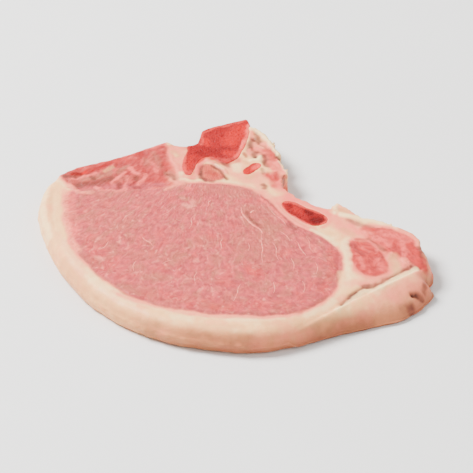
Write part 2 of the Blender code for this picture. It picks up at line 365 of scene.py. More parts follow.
def filled(rim, spacing, insets):
    """Triangles inside a rim, with rows of points that follow it and an even pattern inside them."""
    normals = outward_normals(rim)
    rows = []
    for inset in insets:
        # Points that another part of the rim is nearer to are left out
        row = rim - normals * inset
        gap, _ = distance_to_rim(row, rim)
        rows.append(row[is_inside(row, rim) & (gap > inset * 0.93)])
    rise = spacing * math.sqrt(3) / 2
    low, high = rim.min(0), rim.max(0)
    down, across = np.mgrid[0:int((high[1] - low[1]) / rise), 0:int((high[0] - low[0]) / spacing)]
    grid = np.column_stack([
        (low[0] + (across + 0.5 * (down % 2)) * spacing).ravel(),
        (low[1] + down * rise).ravel(),
    ])
    grid = grid[is_inside(grid, rim)]
    gap, _ = distance_to_rim(grid, rim)
    grid = grid[gap > (insets[-1] if len(insets) else 0) + spacing * 0.6]
    points = np.vstack([rim, *rows, grid])
    edges = [(i, (i + 1) % len(rim)) for i in range(len(rim))]
    result = delaunay_2d_cdt([Vector(point) for point in points], edges, [], 1, 1e-5)
    verts, faces, origins = result[0], result[2], result[3]
    order = np.argsort([min(origin) if origin else len(points) for origin in origins])
    place = np.empty(len(verts), int)
    place[order] = np.arange(len(verts))
    coords = np.array([tuple(vert) for vert in verts])[order]
    return coords, place[np.array(faces)]


def new_object(name, data):
    """A new object in the scene, unturned at the origin."""
    thing = bpy.data.objects.new(name, data)
    bpy.context.scene.collection.objects.link(thing)
    return thing


class Slab:
    """A closed slice: a top, an underside, and a wall of level rows between their rims."""

    def __init__(self, rim, spacing, under_spacing, rounding, under_rounding, height):
        count = len(rim)
        # Only rows that reach a little past the rounded edge are needed
        insets = [inset for inset in RIM_ROWS if inset < max(1.2, rounding.max() + 0.3)]
        top, top_faces = filled(rim, spacing, insets)
        under, under_faces = filled(rim, under_spacing, insets[1::2])
        self.count = count
        self.rim = rim
        self.normals = outward_normals(rim)
        wall = np.tile(rim, (WALL_ROWS - 1, 1))
        self.xy = np.vstack([top, wall, under])
        self.part = np.repeat([0, 1, 2], [len(top), len(wall), len(under)])
        self.inset, self.nearest = distance_to_rim(self.xy, rim)
        on_wall = self.part == 1
        self.inset[on_wall] = 0
        self.nearest[on_wall] = np.tile(np.arange(count), WALL_ROWS - 1)
        self.nearest[:count] = np.arange(count)
        under_start = len(top) + len(wall)
        self.nearest[under_start:under_start + count] = np.arange(count)

        full = height(self.xy, self.inset)
        radius = np.minimum(rounding[self.nearest], full * TOP_SHARE)
        under_radius = np.minimum(under_rounding[self.nearest], full * UNDER_SHARE)
        top_z = full - radius + quarter_round(self.inset, radius)
        under_z = under_radius - quarter_round(self.inset, under_radius)
        rim_top = (full - radius)[:count]
        rim_under = under_radius[:count]
        shares = np.arange(1, WALL_ROWS) / WALL_ROWS
        wall_z = (rim_top[None] * (1 - shares[:, None]) + rim_under[None] * shares[:, None]).ravel()
        self.z = np.where(self.part == 0, top_z, under_z)
        self.z[on_wall] = wall_z
        self.share = np.where(self.part == 0, 0.0, 1.0)
        self.share[on_wall] = np.repeat(shares, count)
        self.offset = np.zeros((len(self.xy), 2))

        around = np.arange(count)
        after = (around + 1) % count
        rings = [around]
        rings += [len(top) + row * count + around for row in range(WALL_ROWS - 1)]
        rings += [under_start + around]
        self.wall_faces = [
            np.column_stack([lower, lower[after], upper[after], upper])
            for upper, lower in zip(rings[:-1], rings[1:])
        ]
        self.top_faces = top_faces
        self.under_faces = under_faces[:, ::-1] + under_start

    def wall_uv(self):
        """Corner coordinates of the wall, as strips that stand side by side right of the top."""
        per_strip = -(-self.count // STRIPS)
        strip = np.arange(self.count) // per_strip
        run = np.arange(self.count + 1) * np.linalg.norm(self.rim[1] - self.rim[0])
        start = run[strip * per_strip]
        begin, end = run[:-1] - start + MARGIN, run[1:] - start + MARGIN
        edge = STRIP_LEFT + strip * (STRIP_WIDTH + MARGIN)
        corners = []
        for row in range(WALL_ROWS):
            left = edge + row / WALL_ROWS * STRIP_WIDTH
            right = edge + (row + 1) / WALL_ROWS * STRIP_WIDTH
            corners.append(np.stack([
                np.column_stack([right, begin]), np.column_stack([right, end]),
                np.column_stack([left, end]), np.column_stack([left, begin]),
            ], axis=1).reshape(-1, 2))
        return np.vstack(corners)

    def make(self, name, material, numbers, tint):
        """The slab as an object of its own, in metres."""
        coords = np.column_stack([self.xy + self.offset, self.z]) * MM
        walls = np.vstack(self.wall_faces).tolist()
        mesh = bpy.data.meshes.new(name)
        mesh.from_pydata(coords.tolist(), [], self.top_faces.tolist() + walls + self.under_faces.tolist())
        for label, values in numbers.items():
            is_place = values.ndim == 2
            layer = mesh.attributes.new(label, "FLOAT_VECTOR" if is_place else "FLOAT", "POINT")
            layer.data.foreach_set("vector" if is_place else "value", values.astype(np.float32).ravel())
        layer = mesh.attributes.new("tint", "FLOAT_COLOR", "POINT")
        colours = np.column_stack([tint, np.ones(len(tint))])
        layer.data.foreach_set("color", colours.astype(np.float32).ravel())
        low = self.rim.min(0)
        scale = max(self.rim.max(0) - low) / CHOP_LENGTH
        top_uv = self.xy[self.top_faces].reshape(-1, 2) - low + MARGIN
        under_uv = (self.xy[self.under_faces].reshape(-1, 2) - low) * (-UNDER_SCALE, UNDER_SCALE)
        under_uv = under_uv + np.multiply(UNDER_CORNER, scale)
        uv = np.vstack([top_uv, self.wall_uv() * (scale, 1), under_uv])
        layer = mesh.uv_layers.new(name="OFBake")
        layer.uv.foreach_set("vector", (uv / max(SHEET * scale, uv.max() + 1)).astype(np.float32).ravel())
        mesh.polygons.foreach_set("use_smooth", np.ones(len(mesh.polygons), bool))
        mesh.materials.append(material)
        mesh.validate()
        return new_object(name, mesh)


def quarter_round(inset, radius):
    reach = np.minimum(inset, radius)
    return np.sqrt(np.maximum(radius**2 - (radius - reach) ** 2, 0))


# ---------------------------------------------------------------- colour and relief laid on in the mesh

class Stroke(NamedTuple):
    """A soft brush mark: its colour's name, route and half width in millimetres, strength and lift."""
    colour: str
    route: list
    half_width: float
    strength: float
    lift: float = 0.0

    def cover(self, points):
        across = distance_to_path(points, self.route) / self.half_width
        return self.strength * (1 - smooth_step(0.35, 1.55, across))


def strokes(*rows):
    """Marks from rows of a colour's name, route, half width, strength and, where it has one, lift."""
    return [Stroke(*row) for row in rows]


class Tint:
    """Colours laid over each other, point by point."""

    def __init__(self, count, colour):
        self.values = np.tile(np.array(colour[:]), (count, 1))

    def lay(self, colour, share):
        self.values += (np.array(colour[:]) - self.values) * np.clip(share, 0, 1)[:, None]


# ---------------------------------------------------------------- node trees

class Tree:
    """A node tree, and the one way nodes are added to it."""

    def __init__(self, tree):
        self.tree = tree

    def feed(self, socket, item):
        if isinstance(item, Value):
            item = item.socket
        if isinstance(item, bpy.types.NodeSocket):
            self.tree.links.new(item, socket)
        else:
            socket.default_value = item

    def add(self, kind, settings=None, inputs=None):
        node = self.tree.nodes.new(kind)
        for name, value in (settings or {}).items():
            setattr(node, name, value)
        for name, value in (inputs or {}).items():
            self.feed(node.inputs[name], value)
        return node


class Value:
    """A number in a node tree. Arithmetic on it adds Math nodes."""

    def __init__(self, owner, socket):
        self.owner = owner
        self.socket = socket

    def math(self, operation, *others):
        node = self.owner.add("ShaderNodeMath", {"operation": operation})
        for index, item in enumerate((self, *others)):
            self.owner.feed(node.inputs[index], item)
        return Value(self.owner, node.outputs[0])

    def reflected(self, operation, other):
        node = self.owner.add("ShaderNodeMath", {"operation": operation})
        self.owner.feed(node.inputs[0], other)
        self.owner.feed(node.inputs[1], self)
        return Value(self.owner, node.outputs[0])

    def __add__(self, other):
        return self.math("ADD", other)

    __radd__ = __add__

    def __sub__(self, other):
        return self.math("SUBTRACT", other)

    def __rsub__(self, other):
        return self.reflected("SUBTRACT", other)

    def __mul__(self, other):
        return self.math("MULTIPLY", other)

    __rmul__ = __mul__

    def ramp(self, low, high):
        """0 at low, 1 at high, smooth between."""
        node = self.owner.add(
            "ShaderNodeMapRange", {"interpolation_type": "SMOOTHSTEP"},
            {"Value": self, "From Min": low, "From Max": high},
        )
        return Value(self.owner, node.outputs["Result"])


class Finish(Tree):
    """One material and its nodes."""

    def __init__(self, name):
        self.material = bpy.data.materials.new(name)
        self.material.use_nodes = True
        super().__init__(self.material.node_tree)
        self.shader = self.tree.nodes["Principled BSDF"]
        self.place = self.add("ShaderNodeTexCoord").outputs["Object"]

    def number(self, name):
        return Value(self, self.add("ShaderNodeAttribute", {"attribute_name": name}).outputs["Fac"])

    def tint(self):
        return self.add("ShaderNodeAttribute", {"attribute_name": "tint"}).outputs["Color"]

    def noise(self, size_mm, detail=2.0, distortion=0.0):
        node = self.add("ShaderNodeTexNoise", None, {
            "Vector": self.place, "Scale": 1 / (size_mm * MM), "Detail": detail, "Distortion": distortion,
        })
        return Value(self, node.outputs["Fac"])

    def along_grain(self, width_mm, length_mm):
        """Places counted in strand widths and lengths, from the grain that lies in the mesh."""
        grain = self.add("ShaderNodeAttribute", {"attribute_name": "grain"}).outputs["Vector"]
        steps = (1 / width_mm, 1 / length_mm, 1 / length_mm)
        scaled = self.add("ShaderNodeVectorMath", {"operation": "MULTIPLY"}, {0: grain, 1: steps})
        return scaled.outputs[0]

    def strands(self, width_mm, length_mm, detail=2.0, distortion=0.0):
        node = self.add("ShaderNodeTexNoise", None, {
            "Vector": self.along_grain(width_mm, length_mm), "Scale": 1.0, "Detail": detail,
            "Distortion": distortion,
        })
        return Value(self, node.outputs["Fac"])

    def bundles(self, width_mm, length_mm):
        """0 in the middle of a bundle of fibres, rising to its edges."""
        node = self.add("ShaderNodeTexVoronoi", None, {
            "Vector": self.along_grain(width_mm, length_mm), "Scale": 1.0,
        })
        return Value(self, node.outputs["Distance"])

    def cells(self, size_mm):
        node = self.add("ShaderNodeTexVoronoi", None, {"Vector": self.place, "Scale": 1 / (size_mm * MM)})
        return Value(self, node.outputs["Distance"])

    def mix(self, factor, first, second, blend="MIX"):
        node = self.add("ShaderNodeMix", {"data_type": "RGBA", "blend_type": blend})
        self.feed(node.inputs[0], factor)
        for index, item in ((6, first), (7, second)):
            if isinstance(item, Value):
                item = item.socket
            if not isinstance(item, bpy.types.NodeSocket):
                item = (*item, 1.0)
            self.feed(node.inputs[index], item)
        return node.outputs[2]

    def shade(self, colour, brightness):
        """The colour times a number."""
        return self.mix(1.0, colour, brightness, "MULTIPLY")

    def bump(self, height, distance_mm):
        return self.add("ShaderNodeBump", None, {
            "Height": height, "Strength": 1.0, "Distance": distance_mm * MM,
        }).outputs[0]

    def surface(self, colour, roughness, normal):
        for name, item in (("Base Color", colour), ("Roughness", roughness), ("Normal", normal)):
            self.feed(self.shader.inputs[name], item)

    def moist(self, soft, scatter_mm, coat):
        """Light that soaks in a little, under a thin wet film."""
        self.shader.inputs["Subsurface Weight"].default_value = soft
        self.shader.inputs["Subsurface Radius"].default_value = (1.0, 0.38, 0.25)
        self.shader.inputs["Subsurface Scale"].default_value = scatter_mm * MM
        self.shader.inputs["Coat Weight"].default_value = coat
        self.shader.inputs["Coat Roughness"].default_value = 0.2
        self.shader.inputs["Specular IOR Level"].default_value = 0.14
        return self.material


class Recipe(Tree):
    """A Geometry Nodes tree with named sizes in metres, run on a guide mesh."""

    def __init__(self, name, **sizes):
        super().__init__(bpy.data.node_groups.new(name, "GeometryNodeTree"))
        self.sizes = sizes
        self.sockets = {}
        face = self.tree.interface
        face.new_socket("Geometry", in_out="INPUT", socket_type="NodeSocketGeometry")
        face.new_socket("Geometry", in_out="OUTPUT", socket_type="NodeSocketGeometry")
        for label in sizes:
            socket = face.new_socket(label, in_out="INPUT", socket_type="NodeSocketFloat")
            self.sockets[label] = socket.identifier
        self.inputs = self.add("NodeGroupInput").outputs

    def size(self, label):
        return Value(self, self.inputs[label])

    def number(self, name):
        node = self.add("GeometryNodeInputNamedAttribute", {"data_type": "FLOAT"}, {"Name": name})
        return Value(self, node.outputs["Attribute"])

    def random(self, low, high, seed):
        node = self.add("FunctionNodeRandomValue", {"data_type": "FLOAT"}, {"Seed": seed})
        self.feed(node.inputs[2], low)
        self.feed(node.inputs[3], high)
        return Value(self, node.outputs[1])

    def noise(self, size_mm, detail=1.0):
        node = self.add("ShaderNodeTexNoise", None, {"Scale": 1 / (size_mm * MM), "Detail": detail})
        return Value(self, node.outputs["Fac"])

    def vector(self, x, y, z):
        return self.add("ShaderNodeCombineXYZ", None, {"X": x, "Y": y, "Z": z}).outputs[0]

    def close(self, geometry, material):
        real = self.add("GeometryNodeRealizeInstances", None, {"Geometry": geometry})
        smooth = self.add("GeometryNodeSetShadeSmooth", None, {"Geometry": real.outputs[0]})
        finish = self.add("GeometryNodeSetMaterial", None, {
            "Geometry": smooth.outputs[0], "Material": material,
        })
        self.feed(self.add("NodeGroupOutput").inputs[0], finish.outputs[0])

    def run(self, guide, name):
        """The tree's result on a guide mesh, as a plain mesh object."""
        holder = new_object(name + "_guide", guide)
        modifier = holder.modifiers.new("recipe", "NODES")
        modifier.node_group = self.tree
        for label, value in self.sizes.items():
            modifier[self.sockets[label]] = value
        shown = holder.evaluated_get(bpy.context.evaluated_depsgraph_get())
        mesh = bpy.data.meshes.new_from_object(shown)
        mesh.name = name
        bpy.data.objects.remove(holder)
        return new_object(name, mesh)


# ---------------------------------------------------------------- finishes

def flesh_finish(paint):
    """Lean, fat and gristle: their colours lie in the skin, and the finer detail is added here."""
    f = Finish("raw_flesh")
    meat = f.number("meat")
    eye = f.number("eye")
    fine = f.noise(0.5, detail=2.0)
    mottle = f.noise(2.2, detail=3.0, distortion=0.5)
    bundles = f.bundles(0.85, 1.5)
    strands = f.strands(0.95, 2.0, detail=3.0)
    patches = f.noise(4.0, detail=2.0).ramp(0.3, 0.7)
    flecks = f.strands(1.5, 3.4, detail=1.0).ramp(0.5, 0.76) + f.noise(1.6, detail=1.0).ramp(0.6, 0.8)
    dark = f.noise(2.2, detail=2.0).ramp(0.5, 0.72)
    grey = f.noise(7.0, detail=3.0).ramp(0.46, 0.64)
    colour = f.mix(grey * eye * 0.35, f.tint(), paint.lean_tan_and_shade[:])
    colour = f.mix(flecks * eye * (0.1 + patches * 0.36), colour, paint.marbling[:])
    colour = f.mix(dark * meat * 0.4, colour, paint.lean_deep[:])
    brightness = 0.88 + fine * 0.1 + mottle * 0.16 + (strands - 0.5) * meat * (0.4 + patches * 0.5)
    brightness = brightness + (bundles - 0.4) * meat * 0.12
    rough = 0.5 - meat * 0.08 + (mottle - 0.5) * 0.25
    height = bundles * meat * 0.7 + strands * meat * 0.8 + fine * 0.4 + mottle * (1.2 - meat * 0.6)
    f.surface(f.shade(colour, brightness), rough, f.bump(height, 0.16))
    return f.moist(soft=0.12, scatter_mm=0.8, coat=0.04)


def bone_finish():
    """Sawn bone: a damp spongy core inside a hard rim."""
    f = Finish("sawn_bone")
    rim = f.number("rim")
    sponge = f.cells(0.75)
    mottle = f.noise(2.2, detail=3.0, distortion=0.6)
    pores = f.noise(0.9, detail=2.0, distortion=0.4).ramp(0.5, 0.7)
    brightness = 0.84 + (sponge * 0.22 - pores * 0.16) * (1 - rim) + mottle * 0.24
    height = (sponge - pores) * (1 - rim) + f.noise(0.4, detail=2.0) * 0.4
    f.surface(f.shade(f.tint(), brightness), 0.5 - mottle * 0.14, f.bump(height, 0.18))
    return f.moist(soft=0.08, scatter_mm=0.6, coat=0.05)


def marbling_finish(paint):
    """Soft pale fat that lies in the lean."""
    f = Finish("marbling_fat")
    colour = f.mix(f.noise(1.3).ramp(0.35, 0.65), paint.marbling[:], paint.lean_pale[:])
    f.surface(colour, 0.5 + f.noise(2.0) * 0.1, f.bump(f.noise(0.4), 0.05))
    return f.moist(soft=0.3, scatter_mm=1.0, coat=0.05)


def fringe_finish(paint):
    """Ragged bits of fat along the sawn edge."""
    f = Finish("ragged_fat")
    colour = f.mix(f.noise(2.4).ramp(0.35, 0.7) * 0.6, paint.fat_white_and_highlight[:], paint.fat_pink[:])
    f.surface(colour, 0.42 + f.noise(2.0) * 0.1, f.bump(f.noise(0.5), 0.1))
    return f.moist(soft=0.3, scatter_mm=1.0, coat=0.1)


# ---------------------------------------------------------------- marks

# The seam across the belly tail, darkened with painted shadow, and the pale lip of fat beyond it
SEAM = [
    (38.2, -47.9), (41.4, -43.8), (44.4, -40.2), (46.2, -38.4), (49, -38.2), (52, -35.4), (54.6, -33.2),
    (57.2, -30.4), (60.2, -28), (63.4, -25.6),
]
LIP = [
    (37, -51), (40.6, -46.6), (43.6, -43), (46.6, -40.4), (50.4, -39.8), (54, -36.6), (57.4, -33),
    (61, -30), (64.6, -27),
]

# Each row holds a colour's name, a route, a half width, a strength and, where it has one, a lift
BACK_EDGE_MARKS = strokes(
    ("lean", [(-58, 21.8), (-50, 22), (-40, 22.4), (-30, 23.2), (-25, 24.4)], 1.9, 1),
    ("brown_tissue_and_shade", [(-57, 24), (-50.6, 24.4), (-45.6, 27.4)], 1.9, 0.8),
    ("lean_tan_and_shade", [(-55, 27.6), (-50, 29.2), (-46.6, 31)], 1.8, 0.8),
    ("brown_tissue_and_shade", [(-52.2, 28.6), (-51.8, 27.6)], 1, 0.8, -0.15),
    ("brown_tissue_and_shade", [(-57.6, 23.4), (-56, 22.8)], 1.3, 0.5, -0.1),
    ("lean_tan_and_shade", [(-43, 31), (-41.6, 33.4), (-40, 35.4)], 1.1, 0.85),
    ("lean_pale", [(-60.6, 27.8), (-57, 28.4), (-54, 29.6), (-51, 31.4)], 0.55, 0.8, 0.1),
    ("brown_tissue_and_shade", [(-62.4, 29.4), (-59, 29.2)], 0.9, 0.9),
    ("tail", [(-60, 33.4), (-54, 35.8), (-48, 38.8), (-42, 41.4), (-36, 44.2)], 1.3, 0.55),
    ("bone", [(-59, 30.8), (-54.6, 32.2), (-50.6, 34.6), (-47.4, 36.8), (-45.2, 38.2)], 1.25, 0.95),
    ("blood_deep", [(-58.8, 30.8), (-56.6, 31)], 1, 0.8),
    ("bone_bright", [(-55.4, 31.6), (-54.4, 32.6)], 0.9, 0.9),
    ("tail", [(-44, 39), (-40.4, 39.4)], 1.3, 0.7),
    ("lean_pale", [(-60.4, 34), (-54.6, 36.6), (-46, 40.6), (-38, 44.4), (-33, 47)], 0.6, 0.7, 0.1),
    ("fat_tan", [(-48, 32.4), (-46.2, 33.4), (-45.2, 35)], 0.95, 0.85),
    ("lean_pale", [(-44.4, 24.4), (-43, 28.4), (-40.6, 31.6)], 0.75, 0.9, 0.15),
    ("lean_pale", [(-38.6, 34.6), (-37.2, 32), (-35.4, 30.4)], 0.9, 0.85, 0.15),
    ("lean_pale", [(-33, 30.6), (-33.6, 27), (-35.4, 23.8)], 0.8, 0.7, 0.1),
    ("lean_pale", [(-39.6, 29.6), (-40, 25.4), (-40.4, 21.4)], 0.7, 0.5, 0.1),
    ("brown_tissue_and_shade", [(-36.2, 28.8), (-35.8, 27)], 1, 0.75, -0.1),
    ("brown_tissue_and_shade", [(-42.8, 24.6), (-42, 21.8)], 1, 0.55),
    ("lean_deep", [(-37, 22.4), (-33, 23.8)], 1, 0.5),
    ("bone", [(-34, 33.8), (-33, 32)], 0.9, 0.3),
    ("bone", [(-30.6, 26.4), (-27.6, 27.6)], 1.6, 0.4),
    ("bone", [(-36.2, 42.4), (-34.8, 43.6)], 1.4, 0.4),
    ("bone", [(-27, 48), (-25, 47)], 0.9, 0.6),
    ("lean_pale", [(-31, 47.6), (-28.6, 49.4), (-26, 50.8)], 0.9, 0.7),
    ("lean_pale", [(-31.4, 38), (-29.6, 35), (-29, 31.4)], 0.8, 0.5, 0.1),
    ("lean_tan_and_shade", [(-30.4, 44), (-28.6, 39.6), (-28, 35)], 1.4, 0.5),
    ("lean_tan_and_shade", [(-33.6, 40), (-32.6, 36.4)], 1.1, 0.4),
    ("fat_pink", [(-60.6, 23.4), (-58, 20.6), (-55.8, 19)], 1.1, 0.85, 0.1),
    ("fat_pink", [(-54.4, 19), (-51.8, 18.6)], 1.3, 0.85, 0.1),
    ("lean_pale", [(-50.4, 21.8), (-48.6, 20.8)], 0.8, 0.8, 0.1),
    ("lean_pale", [(-47, 20.4), (-43.2, 19.4), (-40.4, 20.6)], 0.9, 0.75, 0.1),
    ("lean_pale", [(-32, 21.2), (-28, 22)], 0.6, 0.5, 0.1),
    ("lean_deep", [(-39, 23.4), (-35, 22.2)], 0.9, 0.5),
)
FAT_COLUMN_MARKS = strokes(
    ("tail", [(-24.4, 48.8), (-20, 48), (-16, 48.4)], 1.9, 0.75),
    ("cap", [(-26.4, 44), (-26, 36), (-26, 28)], 1.4, 0.6),
    ("fat_pink", [(-22, 46.6), (-21.8, 40), (-21, 34), (-21.4, 26)], 3.4, 1),
    ("lean_pale", [(-24.4, 46), (-24, 39), (-20.6, 34)], 1.7, 0.6),
    ("fat_tan", [(-23.4, 44.6), (-22, 42.6)], 1.5, 0.75),
    ("fat", [(-22.8, 43.4), (-22.4, 42.6)], 0.8, 0.6),
    ("tail", [(-25.6, 37), (-24.2, 34.4), (-23, 31)], 1.8, 0.85, -0.1),
    ("fat_pink", [(-24.6, 43), (-23.8, 39.4), (-21.8, 36), (-20.8, 30.4)], 0.6, 1, 0.15),
    ("fat_white_and_highlight", [(-20, 31.6), (-19.8, 27.4), (-17.4, 27)], 0.8, 0.75, 0.1),
    ("fat_pink", [(-25, 20.4), (-23, 22), (-21, 25.4)], 0.8, 1, 0.15),
    ("lean_tan_and_shade", [(-24.6, 31.6), (-22, 28)], 1.6, 0.8),
    ("brown_tissue_and_shade", [(-24.6, 30.8), (-23.2, 29.8), (-22.4, 27.4)], 0.85, 0.75, -0.1),
    ("tail", [(-26.4, 27), (-24.4, 25), (-23.4, 24)], 1.3, 0.6),
    ("fat_white_and_highlight", [(-25.9, 51), (-25, 49.8)], 0.6, 0.6),
)
GRISTLE_MARKS = strokes(
    ("gristle", [(-1, 38), (1, 32), (6, 26)], 4, 0.6),
    ("gristle", [(6, 58), (9, 50), (10, 44)], 3, 0.6),
    ("lean_pale", [(11, 42), (13.6, 35), (13, 27), (16, 21)], 2.6, 0.75),
    ("lean_tan_and_shade", [(4.6, 50), (5, 44)], 1.8, 0.7),
    ("lean_tan_and_shade", [(7.4, 58), (8, 53)], 1.6, 0.6),
    ("tail", [(-11, 34.6), (-10, 29.6), (-7.6, 29)], 2.8, 0.75),
    ("bone", [(-9.4, 31.8), (-8.2, 30)], 1.2, 0.5),
    # Brown in the grooves round the inner muscle: painted shade over browned tissue
    ("brown_tissue_and_shade", [(-13, 36.4), (-13.5, 31.6), (-13, 27.8), (-11.4, 26.6)], 1, 1, -0.25),
    ("brown_tissue_and_shade", [(-8.8, 36.2), (-5.8, 32.4), (-4.2, 29), (-3.4, 27.8)], 0.85, 0.9, -0.2),
    ("lean_deep", [(-11.8, 26.8), (-8.6, 26)], 0.9, 0.7),
    ("tail", [(-16, 28), (-15.4, 34), (-13.6, 39), (-10.8, 41.6), (-7, 40.4), (-4, 38)], 1.5, 0.85),
    ("bone_bright", [(-14.4, 38.6), (-12.6, 41), (-10, 42), (-7.6, 40.8)], 1, 0.75),
    ("lean_pale", [(-14.9, 30), (-14.4, 35), (-12.6, 38.2), (-10.9, 39.6)], 0.7, 0.8, 0.3),
    ("fat_pink", [(-10.9, 39.8), (-8.9, 38.4), (-6.4, 35.4), (-3.4, 31.2)], 0.75, 1, 0.35),
    ("fat_white_and_highlight", [(-7.4, 36.8), (-5, 33.6)], 0.5, 0.7, 0.1),
    ("fat_pink", [(-20, 28.8), (-16.8, 28.4), (-14.8, 28.6)], 1.3, 0.6),
    ("tail", [(-6.4, 38.6), (-3, 38.4), (0, 39.6)], 1.7, 0.75),
    # Painted shadow beside the pale ridge of the inner muscle
    ("brown_tissue_and_shade", [(-4.4, 38.2), (-3, 36.2)], 1.2, 0.9, -0.2),
    ("fat_pink", [(-3, 34), (0.4, 31), (4, 27.4)], 2.6, 0.55),
    ("fat_white_and_highlight", [(-0.4, 36.4), (0.4, 33)], 1.6, 0.7),
    ("fat_tan", [(2.6, 38.2), (3.6, 37)], 1, 0.7),
    ("fat_tan", [(4.4, 29), (7.4, 30.2)], 1.4, 0.8),
    ("fat_pink", [(8.6, 31), (8.6, 26), (9, 19.6)], 2.2, 0.7),
    ("fat_tan", [(6.2, 57.6), (6.8, 54.4), (8.6, 52)], 1.8, 0.8, -0.2),
    ("brown_tissue_and_shade", [(6.6, 57.6), (7.2, 54), (8.6, 51)], 0.9, 0.75, -0.15),
    ("brown_tissue_and_shade", [(5.2, 54.4), (7.4, 51), (10, 48.6), (12.6, 45.4)], 0.8, 0.8, -0.2),
    ("fat_pink", [(4.6, 60), (4.9, 56), (5.2, 52.6)], 0.8, 0.9, 0.15),
    ("fat_pink", [(9, 50.4), (11.6, 47.6)], 0.9, 0.8),
    ("brown_tissue_and_shade", [(5.6, 53.4), (4.5, 50.6), (5.2, 48.4), (4.7, 46)], 1.1, 0.9, -0.2),
    ("fat_pink", [(4.6, 46.6), (4.4, 44), (5, 41.8)], 0.9, 0.9),
    ("bone", [(5.8, 46.8), (8.4, 44.8), (10.6, 43.2)], 1, 0.5, -0.1),
    ("lean_pale", [(6.8, 47.4), (8.8, 46.4), (10.4, 45)], 0.7, 0.8, 0.2),
    ("tail", [(11, 46), (12.8, 43.8), (13.2, 40)], 1.5, 0.9, -0.15),
    ("pit", [(14.2, 43.8), (14.1, 41.4)], 0.6, 0.8, -0.4),
    ("brown_tissue_and_shade", [(7.2, 44.8), (6.2, 43), (6.5, 41)], 0.9, 0.9, -0.25),
    ("marrow", [(2.6, 44), (3.5, 41.4)], 0.65, 0.8, -0.2),
    ("fat_white_and_highlight", [(8.2, 41.6), (7.6, 39.2), (5, 39)], 0.8, 1, 0.35),
    ("brown_tissue_and_shade", [(9.4, 42.2), (10.7, 40.2), (10, 38.2), (10.9, 36.4)], 1.2, 0.9, -0.15),
    ("pit", [(10.6, 38.4), (10, 37.2)], 0.6, 0.6, -0.2),
    ("tail", [(12, 37.6), (13.6, 34.4)], 1.2, 0.55),
    ("fat", [(10.4, 34), (11.6, 32.4)], 1.5, 0.95, 0.3),
    ("brown_tissue_and_shade", [(9, 34.4), (9.6, 31.6)], 0.8, 0.8, -0.3),
    ("tail", [(11.4, 30.4), (13.8, 27.6), (14.6, 23.6)], 2, 0.9),
    ("bone", [(14.2, 31.6), (14.8, 28.4)], 0.9, 0.8, -0.3),
    ("brown_tissue_and_shade", [(9.6, 23.6), (10.6, 22.6), (10.2, 21.4)], 1, 0.9, -0.1),
    ("lean_pale", [(14.4, 38.6), (16, 35.4), (17.4, 32)], 0.7, 0.8, 0.2),
    ("fat_white_and_highlight", [(5, 60.6), (7.6, 59), (9.2, 56.4), (11, 53), (12.6, 49.6), (13.9, 46.8)], 1.1, 1, 0.5),
    ("fat_white_and_highlight", [(13.9, 46.8), (15.4, 43.8)], 0.9, 1, 0.4),
    ("fat_white_and_highlight", [(15.4, 39), (16.8, 36), (18.2, 32.2), (18.4, 31)], 0.6, 0.8, 0.4),
    ("brown_tissue_and_shade", [(16.9, 29.4), (16.5, 27.8)], 0.7, 0.8, -0.4),
    ("lean_pale", [(15.4, 25.4), (16.2, 21.8), (19.4, 17.6)], 1.3, 0.7, 0.1),
)
RIB_MARKS = strokes(
    ("fat_pink", [(34, 4), (36, -1), (40, -5)], 2.6, 0.7),
    ("lean_pale", [(14.6, 14), (19, 16.4), (26, 12.6), (33, 7)], 2.2, 0.8),
    ("fat_pink", [(9.4, 19), (12.4, 16), (15, 12.4)], 1.6, 0.8, 0.1),
    ("lean_pale", [(15.6, 11.4), (17.4, 7), (20.6, 2.4), (24.6, -1.4), (28, -4)], 1.5, 0.85, 0.1),
    ("fat_pink", [(15.2, 10.6), (17, 6.2), (20, 1.6), (24, -2.2), (27.4, -4.8)], 0.5, 1, 0.2),
    ("fat_white_and_highlight", [(28, -4.8), (31.4, -7.6), (34.4, -10.6), (36.4, -13.8)], 0.9, 0.8, 0.15),
    ("lean_pale", [(17.6, 15.2), (21, 14), (26, 10.8), (30.6, 7.6), (33.4, 5)], 1.5, 0.85, 0.15),
    ("lean_pale", [(34, 3.6), (33.6, 0.6), (31.6, -2.4)], 1.1, 0.8),
    ("fat", [(33.6, -4.6), (36.6, -7.4)], 2, 0.6),
    ("fat_pink", [(36, 1), (39, -2.4)], 1.6, 0.6),
)
